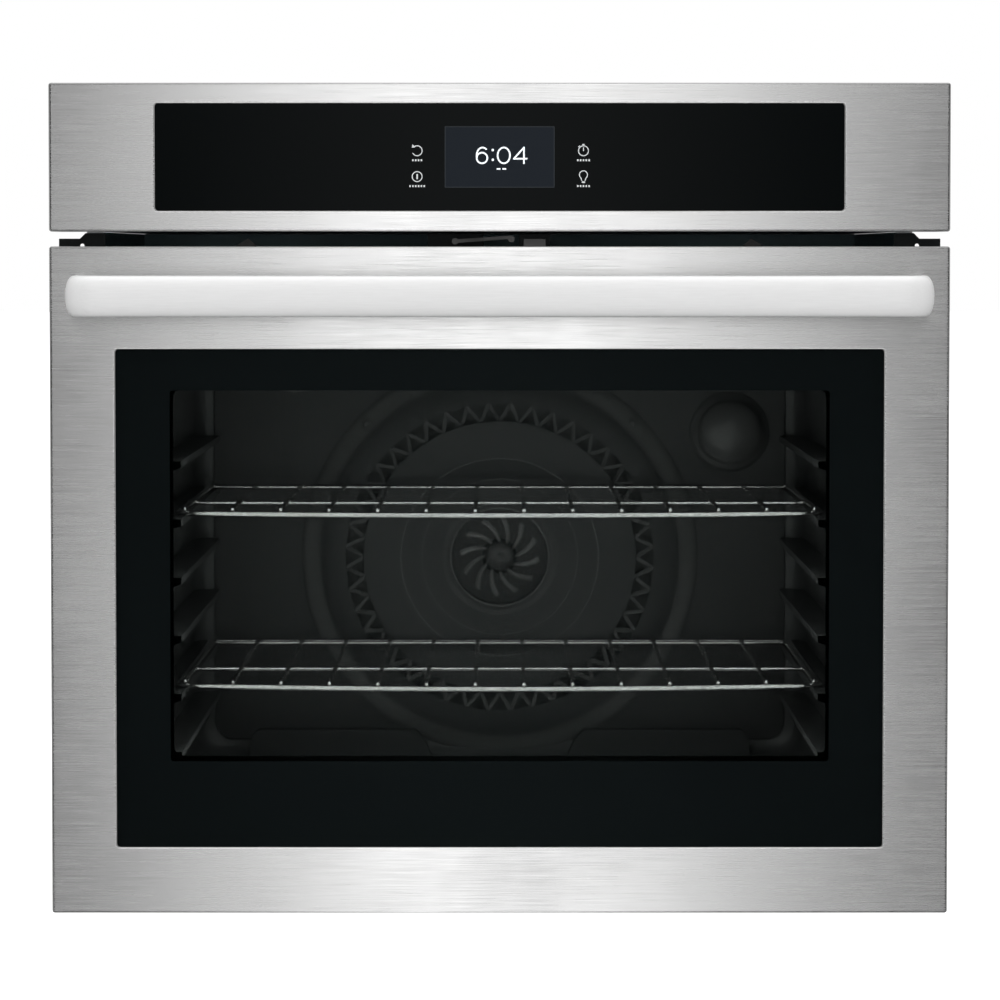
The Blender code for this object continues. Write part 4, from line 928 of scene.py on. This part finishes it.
def make_rack(name, node, body):
    """Round plated wires: a loop with a bowed front, cross rails, and deck wires that lie over them."""
    low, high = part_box(node)
    bow, front_bend, rear_bend = 28 * MM, 16 * MM, 12 * MM
    rail, cross, wire = 2.4 * MM, 1.7 * MM, 2.0 * MM
    rail_z = low.z + rail
    deck_z = rail_z + rail + wire - 0.1 * MM
    cross_z = deck_z - wire - cross + 0.3 * MM
    side_x, back_y = high.x - rail, high.y - rail
    side_front = low.y + bow + rail
    steps, count = 28, 14
    past_front, past_back, edge_gap = 2.6 * MM, 1 * MM, 6.4 * MM  # of the deck wires

    def front_y(x):
        return side_front - bow * (1 - (x / side_x) ** 2)

    def rod(start, end, radius, **ends):
        rod_into(bm, [Vector(start), Vector(end)], radius, 10, **ends)

    run = side_x - front_bend
    front = [Vector((x, front_y(x), rail_z)) for x in (run * (2 * i / steps - 1) for i in range(steps + 1))]
    corner_y = front_y(run) + front_bend
    right = [
        Vector((run + front_bend * math.sin(a), corner_y - front_bend * math.cos(a), rail_z))
        for a in quarter_turn(6)[1:]
    ]
    right += [
        Vector((side_x - rear_bend * (1 - math.cos(a)), back_y - rear_bend * (1 - math.sin(a)), rail_z))
        for a in quarter_turn(6)
    ]
    bm = bmesh.new()
    rod_into(bm, front + right + mirrored(right), rail, 12, closed=True)
    for share in (0.33, 0.94):
        y = side_front + (back_y - side_front) * share
        rod((-side_x, y, cross_z), (side_x, y, cross_z), cross)
    for i in range(count):
        x = (2 * i / (count - 1) - 1) * (side_x - edge_gap)
        rod((x, front_y(x) - past_front, deck_z), (x, back_y + past_back, deck_z), wire, round_ends=True)
    add_mesh(name, bm, body, CHROME, [node], 60)


def make_elements():
    """The broil element's tube, with its end plate and the two hangers that hold it to the ceiling."""
    z = (BROIL_LOW.z + BROIL_HIGH.z) / 2
    edge, half_plate = 3.4 * MM, 15 * MM
    reach, front, back = BROIL_HIGH.x - edge, BROIL_LOW.y + edge, BACK_Y - 0.3 * MM
    rear, turn, terminal = BACK_Y - 60 * MM, BACK_Y - 30 * MM, 30 * MM
    corners = [(-terminal, back, z), (-terminal, turn, z), (-reach, turn, z), (-reach, front, z)]
    for i in range(1, 7):
        x = reach * (2 * i / 7 - 1)
        ends = (front, rear) if i % 2 else (rear, front)
        corners += [(x, y, z) for y in ends]
    corners += [(reach, front, z), (reach, turn, z), (terminal, turn, z), (terminal, back, z)]
    bm = bmesh.new()
    rod_into(bm, smooth_path(corners, 14 * MM, 8), 3.3 * MM, 14)
    add_mesh("broil_element_tube", bm, "chassis", SHEATH, ["broil_element"], 50)
    plate_steps = stepped(BACK_Y, (0, -0.4), (0, -1.6), (0.6, -2.2))
    bm = loft(framed_loops(46 * MM, z - half_plate, z + half_plate, 4 * MM, plate_steps), caps=True)
    hanger_y, hanger_z, half_bar = -20 * MM, z + 4.6 * MM, 40 * MM
    for x in (-reach / 7 * 2, reach / 7 * 2):
        bar = [Vector((x - half_bar, hanger_y, hanger_z)), Vector((x + half_bar, hanger_y, hanger_z))]
        stem = [Vector((x, hanger_y, hanger_z)), Vector((x, hanger_y, CAVITY_TOP - 0.5 * MM))]
        rod_into(bm, bar, 1.4 * MM, 8)
        rod_into(bm, stem, 1.4 * MM, 8)
    add_mesh("broil_brackets", bm, "chassis", MOTOR)


def make_gasket():
    """The braided seal as a rounded bead round the cavity's mouth."""
    half_w, low, high = GASKET_HIGH.x, GASKET_LOW.z, GASKET_HIGH.z
    half_wide, corner = 4.5 * MM, 34 * MM
    centre_y, deep = (GASKET_LOW.y + GASKET_HIGH.y) / 2, (GASKET_HIGH.y - GASKET_LOW.y) / 2
    loops = []
    for a in full_turn(12):
        inset, y = half_wide * (1 - math.cos(a)), centre_y + deep * math.sin(a)
        loops.append(rounded_loop(half_w - inset, low + inset, high - inset, corner - inset, y, 10))
    add_mesh("gasket_bead", loft(loops, closed=True), "chassis", BRAID, ["door_gasket"], 60)


def make_lamp():
    """The lamp's stepped glass lens, and the ring that holds it to the back wall."""
    centre = Vector(((LENS_LOW.x + LENS_HIGH.x) / 2, 0, (LENS_LOW.z + LENS_HIGH.z) / 2))
    outside = [
        (36, 0.4), (36, 3), (33.5, 4.6), (31.6, 6), (31, 14.5), (29.5, 17.5), (27, 18.6), (25.6, 19.8),
        (23.4, 20.4), (21.6, 21.8), (18, 22.2), (15.6, 23), (9, 23.4), (0, 23.6),
    ]
    inside = [(0, 21.4), (14, 21), (22, 18.6), (27.6, 14), (30, 3), (30, 0.4)]
    lens = turned(off_back_wall(outside + inside), centre)
    add_mesh("lamp_lens_glass", lens, "chassis", LENS_GLASS, ["lamp_lens"], 40)
    ring = [(35, 2.9), (38, 2.9), (39, 2.2), (39, 0.4), (36.4, 0.4), (36.4, 2.0), (35, 2.9)]
    add_mesh("lamp_retaining_ring", turned(off_back_wall(ring), centre), "chassis", ENAMEL, (), 40)


# ---------------------------------------------------------------- outside of the body
def make_body_screws():
    """The screws along the edges of the side panels, the rear, the top and the front frame."""
    rows = [SIDE_LOW.z + 20 * MM + i * 105 * MM for i in range(6)]
    seam_y, seam_z = (-0.19, -0.03, 0.13, 0.30), TOP_LOW.z + 12 * MM
    for side, word in ((-1, "left"), (1, "right")):
        x = side * SIDE_HIGH.x
        places = [(x, y, z) for y in (SIDE_LOW.y + 22 * MM, SIDE_HIGH.y - 10 * MM) for z in rows]
        places += [(x, y, seam_z) for y in seam_y]
        add_screws(f"side_screws_{word}", "chassis", places, (side, 0, 0))
    edge = 10 * MM
    edge_x = REAR_HIGH.x - edge
    columns = [(-1 + 2 * i / 4) * edge_x for i in range(5)]
    places = [(x, REAR_HIGH.y, z) for x in columns for z in (REAR_LOW.z + edge, REAR_HIGH.z - edge)]
    places += [(x, REAR_HIGH.y, z) for x in (-edge_x, edge_x) for z in (0.18, 0.35, 0.52)]
    add_screws("rear_screws", "chassis", places, (0, 1, 0))
    top_y = (TOP_LOW.y + 14 * MM, TOP_HIGH.y - 12 * MM)
    places = [(x, y, TOP_HIGH.z) for x in (-0.33, 0, 0.33) for y in top_y]
    add_screws("top_screws", "chassis", places, (0, 0, 1))
    frame_x = FRAME_HIGH.x - 16 * MM
    places = [(x, FRAME_LOW.y, z) for x in (-frame_x, frame_x) for z in (0.09, 0.29, 0.49)]
    add_screws("frame_screws", "chassis", places, (0, -1, 0), SCREW_METAL, 3.4 * MM)


def make_duct_brackets():
    """Two small gussets that stand on the air duct's floor, just inside the gap over the door."""
    front, floor = DUCT_LOW.y + 2 * MM, DUCT_LOW.z + 2 * MM
    outline = ((-226, 0), (-209, 0), (-209, 16.5), (-216, 22.5), (-226, 16.5))
    for side, word in ((1, "left"), (-1, "right")):
        loops = [[(side * x * MM, y, floor + z * MM) for x, z in outline] for y in (front, front + SHEET)]
        add_mesh(f"duct_bracket_{word}", loft(loops, caps=True), "chassis", TRIM_PLASTIC)


def bead_into(bm, start, end, across, out, width=9 * MM, height=1.4 * MM):
    """A pressed stiffening rib: a long low ridge with round ends, on a flat panel."""
    start, end, across, out = (Vector(v) for v in (start, end, across, out))
    along = (end - start).normalized()
    loops = []
    for share, lift in ((1.0, 0.0), (0.82, 0.45), (0.5, 0.85), (0.2, 1.0)):
        half = width / 2 * share
        loop = []
        for centre, first in ((end, -90), (start, 90)):
            for a in (math.radians(first + 180 * i / 8) for i in range(9)):
                aside = (along * math.cos(a) + across * math.sin(a)) * half
                loop.append(centre + aside + out * height * lift)
        loops.append(loop)
    base = [p - out * 0.5 * MM for p in loops[0]]
    loft([base] + loops, caps=True, bm=bm)


def make_panel_ribs():
    """Ribs up the side panels and the rear, and along the top."""
    margin = 60 * MM
    for side, word in ((-1, "left"), (1, "right")):
        bm = bmesh.new()
        x = side * SIDE_HIGH.x
        for y in (-0.11, 0.05, 0.21):
            ends = (x, y, SIDE_LOW.z + margin), (x, y, SIDE_HIGH.z - margin)
            bead_into(bm, *ends, (0, 1, 0), (side, 0, 0))
        add_mesh(f"side_ribs_{word}", bm, "chassis", ZINC, (), 40)
    bm = bmesh.new()
    for x in (-0.24, -0.08, 0.08, 0.24):
        bead_into(bm, (x, REAR_HIGH.y, 0.07), (x, REAR_HIGH.y, 0.53), (1, 0, 0), (0, 1, 0), 16 * MM, 3 * MM)
    add_mesh("rear_ribs", bm, "chassis", ZINC, (), 40)
    bm = bmesh.new()
    for x in (-0.27, -0.09, 0.09, 0.27):
        bead_into(bm, (x, 0.05, TOP_HIGH.z), (x, 0.27, TOP_HIGH.z), (1, 0, 0), (0, 0, 1))
    add_mesh("top_ribs", bm, "chassis", ZINC, (), 40)


def make_harness():
    """A bundle of insulated wires along the harness's route: six round a seventh."""
    route = [
        (-0.08, HARNESS_FRONT + 2 * MM, 0.600), (-0.08, -0.19, 0.600), (-0.08, -0.06, 0.594),
        (-0.06, 0.06, 0.594), (0.11, 0.12, 0.594), (0.20, 0.20, 0.596), (0.235, 0.258, 0.606),
    ]
    path = smooth_path(route, 30 * MM, 5)
    up = Vector((0, 0, 1))
    spread = 3.0 * MM
    bm = bmesh.new()
    for turn, reach in [(a, spread) for a in full_turn(6)] + [(0.0, 0.0)]:
        strand = []
        for i, place in enumerate(path):
            along = (path[min(i + 1, len(path) - 1)] - path[max(i - 1, 0)]).normalized()
            side = along.cross(up).normalized()
            strand.append(place + side * reach * math.cos(turn) + up * reach * math.sin(turn))
        rod_into(bm, strand, 1.45 * MM, 8)
    add_mesh("harness_wires", bm, "chassis", TRIM_PLASTIC, ["wire_harness"], 60)


# ---------------------------------------------------------------- everything else keeps its CAD shape
def finish_cad_nodes():
    plain_zinc = ("top_cover", "rear_cover", "base_pan", "control_deck", "junction_box", "blower_housing")
    finish_node(ZINC, *plain_zinc, *both("side_panel", "hinge_receiver", "hinge_channel"))
    finish_node(PAINT, *both("side_trim"), "latch_motor", "door_switch")
    finish_node(DUCT_PAINT, "air_duct")
    finish_node(FRAME_ENAMEL, "front_frame")
    finish_node(SHELL_ENAMEL, *both("cavity_wall"))
    finish_node(ENAMEL, "cavity_ceiling", "cavity_floor", "cavity_back_wall")
    finish_node(MOTOR, "convection_motor", "blower_motor", "cooling_wheel", "lamp_housing")
    finish_node(MOTOR, *both("hinge_arm", "hinge_spring"))
    finish_node(DOOR_GLASS, "door_middle_glass", "door_inner_glass")
    finish_node(SHEATH, "bake_element")
    finish_node(WOOL, "insulation_wrap", "insulation_back")
    finish_node(DARK_WOOL, "door_insulation")
    finish_node(BOARD, "control_board", "relay_board")
    finish_node(TRIM_PLASTIC, "door_top_trim", "thermal_cutout", "display_module")
    finish_node(GREY_PLASTIC, "switch_plunger")
    finish_node(LATCH_METAL, "latch_hook", "temperature_probe")
    finish_node(BULB, "lamp_bulb")


# ---------------------------------------------------------------- floor, light and camera
FLOOR_Z = -100 * MM  # the oven hangs in a cabinet, and its open door and handle reach below its base
STUDIO_CENTRE = 2.5  # the studio's brightness straight in front of the oven
STUDIO_FLAG = 0.04  # the dark flags on both sides of that
STUDIO_SIDE = 0.5  # to the oven's sides and behind it
STUDIO_TOP = 0.8
CENTRE_EDGE = 0.122  # how far off centre the bright part and the flags end, as sines
FLAG_EDGE = 0.6
LOW_NARROWING = 1.5  # the bright part is this much narrower towards the floor


def area_light(name, place, target, size, power, glossy=True, camera=True):
    """A rectangular lamp aimed at a target. It may be left out of reflections or of the camera's view."""
    data = bpy.data.lights.new(name, "AREA")
    data.shape = "RECTANGLE"
    data.size, data.size_y = size
    data.energy = power
    light = bpy.data.objects.new(name, data)
    light.location = place
    light.rotation_mode = "QUATERNION"
    light.rotation_quaternion = (Vector(target) - Vector(place)).to_track_quat("-Z", "Y")
    light.visible_glossy = glossy
    light.visible_camera = camera
    bpy.context.scene.collection.objects.link(light)


def make_floor():
    bm = bmesh.new()
    bmesh.ops.create_grid(bm, x_segments=1, y_segments=1, size=40)
    floor = object_from("floor", bm)
    floor.location.z = FLOOR_Z
    s = Shader("floor_white")
    cloud = s.noise(2.0, 2.0)
    finish = s.surface(
        Base_Color=s.blend(cloud, grey(0.8), grey(0.82)), Roughness=0.9, Specular_IOR_Level=0.0,
        Emission_Color=(1, 1, 1, 1), Emission_Strength=0.9,
    )
    floor.data.materials.append(finish)
    floor.visible_glossy = False
    floor.visible_diffuse = False


def make_studio():
    """A white studio: bright straight in front of the oven, dimmer to its sides, bright again overhead."""
    s = Shader("studio", world=True)
    direction = s.node("ShaderNodeTexCoord").outputs["Generated"]
    parts = s.node("ShaderNodeSeparateXYZ", {0: direction}).outputs
    aside = s.calculate("SUBTRACT", parts[0], -0.004)
    low_down = s.ramp(parts[2], LOW_NARROWING, 1.0, -0.35, 0.1)
    off_centre = s.calculate("ABSOLUTE", s.calculate("MULTIPLY", aside, low_down))
    centre = s.ramp(off_centre, STUDIO_CENTRE, STUDIO_FLAG, 0.0, CENTRE_EDGE, "SMOOTHSTEP")
    past_flag = s.ramp(off_centre, 0.0, 1.0, FLAG_EDGE, FLAG_EDGE + 0.25)
    in_front = s.ramp(parts[1], 1.0, 0.0, -0.7, -0.2)
    facing = s.mix(past_flag, centre, STUDIO_SIDE)
    around = s.mix(in_front, STUDIO_SIDE, facing)
    level = s.mix(s.ramp(parts[2], 0.0, 1.0, 0.45, 0.85), around, STUDIO_TOP)
    seen = s.node("ShaderNodeLightPath").outputs["Is Camera Ray"]
    shown = s.node("ShaderNodeBackground", {"Color": (1, 1, 1, 1), "Strength": s.mix(seen, level, 1.0)})
    s.tree.links.new(shown.outputs[0], s.output.inputs[0])
    bpy.context.scene.world = s.owner


def make_lights():
    """Softboxes before, over and behind the oven, and two weak lamps that fill its cavity."""
    area_light("front_softbox", (0, -4.2, 1.2), (0, 0, 0.35), (2.4, 1.6), 78, glossy=False)
    area_light("top_softbox", (0, -1.0, 2.6), (0, -0.3, 0.5), (2.6, 1.6), 22, glossy=False)
    area_light("back_softbox", (0, 3.6, 1.8), (0, 0, 0.4), (2.4, 1.6), 40, glossy=False)
    window = Vector((0, INNER_HIGH.y + 8 * MM, (SIGHT[1] + SIGHT[2]) / 2))
    window_size = (2 * SIGHT[0], SIGHT[2] - SIGHT[1])
    area_light("window_light", window, window + Vector((0, 1, 0)), window_size, 2.5, camera=False)
    low = Vector((0, (INNER_HIGH.y + BACK_Y) / 2, CAVITY_FLOOR + 30 * MM))
    area_light("cavity_fill", low, low + Vector((0, 0, 1)), (0.5, 0.36), 0.5, camera=False)


def make_camera():
    """A long lens near the height of the door's top, tipped and shifted down on to the oven."""
    distance, height, tilt = 3.36, 0.567, 2.435
    data = bpy.data.cameras.new("camera")
    data.lens = 142.96
    data.sensor_width = 36
    data.shift_y = -0.08
    data.clip_end = 200
    camera = bpy.data.objects.new("camera", data)
    camera.location = (0.0003, FACE_Y - distance, height)
    camera.rotation_euler = (math.radians(90 - tilt), 0, 0)
    bpy.context.scene.collection.objects.link(camera)
    bpy.context.scene.camera = camera
    bpy.context.scene.view_settings.view_transform = "Standard"


def main():
    make_display(make_control_panel())
    make_panel_back()
    make_door_skin()
    make_window()
    make_liner()
    make_handle()
    make_cavity_shell()
    make_fan_cover()
    make_fan()
    make_rack("upper_rack_wires", "rack_upper", "upper_rack")
    make_rack("lower_rack_wires", "rack_lower", "lower_rack")
    make_elements()
    make_gasket()
    make_lamp()
    make_body_screws()
    make_panel_ribs()
    make_duct_brackets()
    make_harness()
    finish_cad_nodes()
    make_floor()
    make_studio()
    make_lights()
    make_camera()


main()
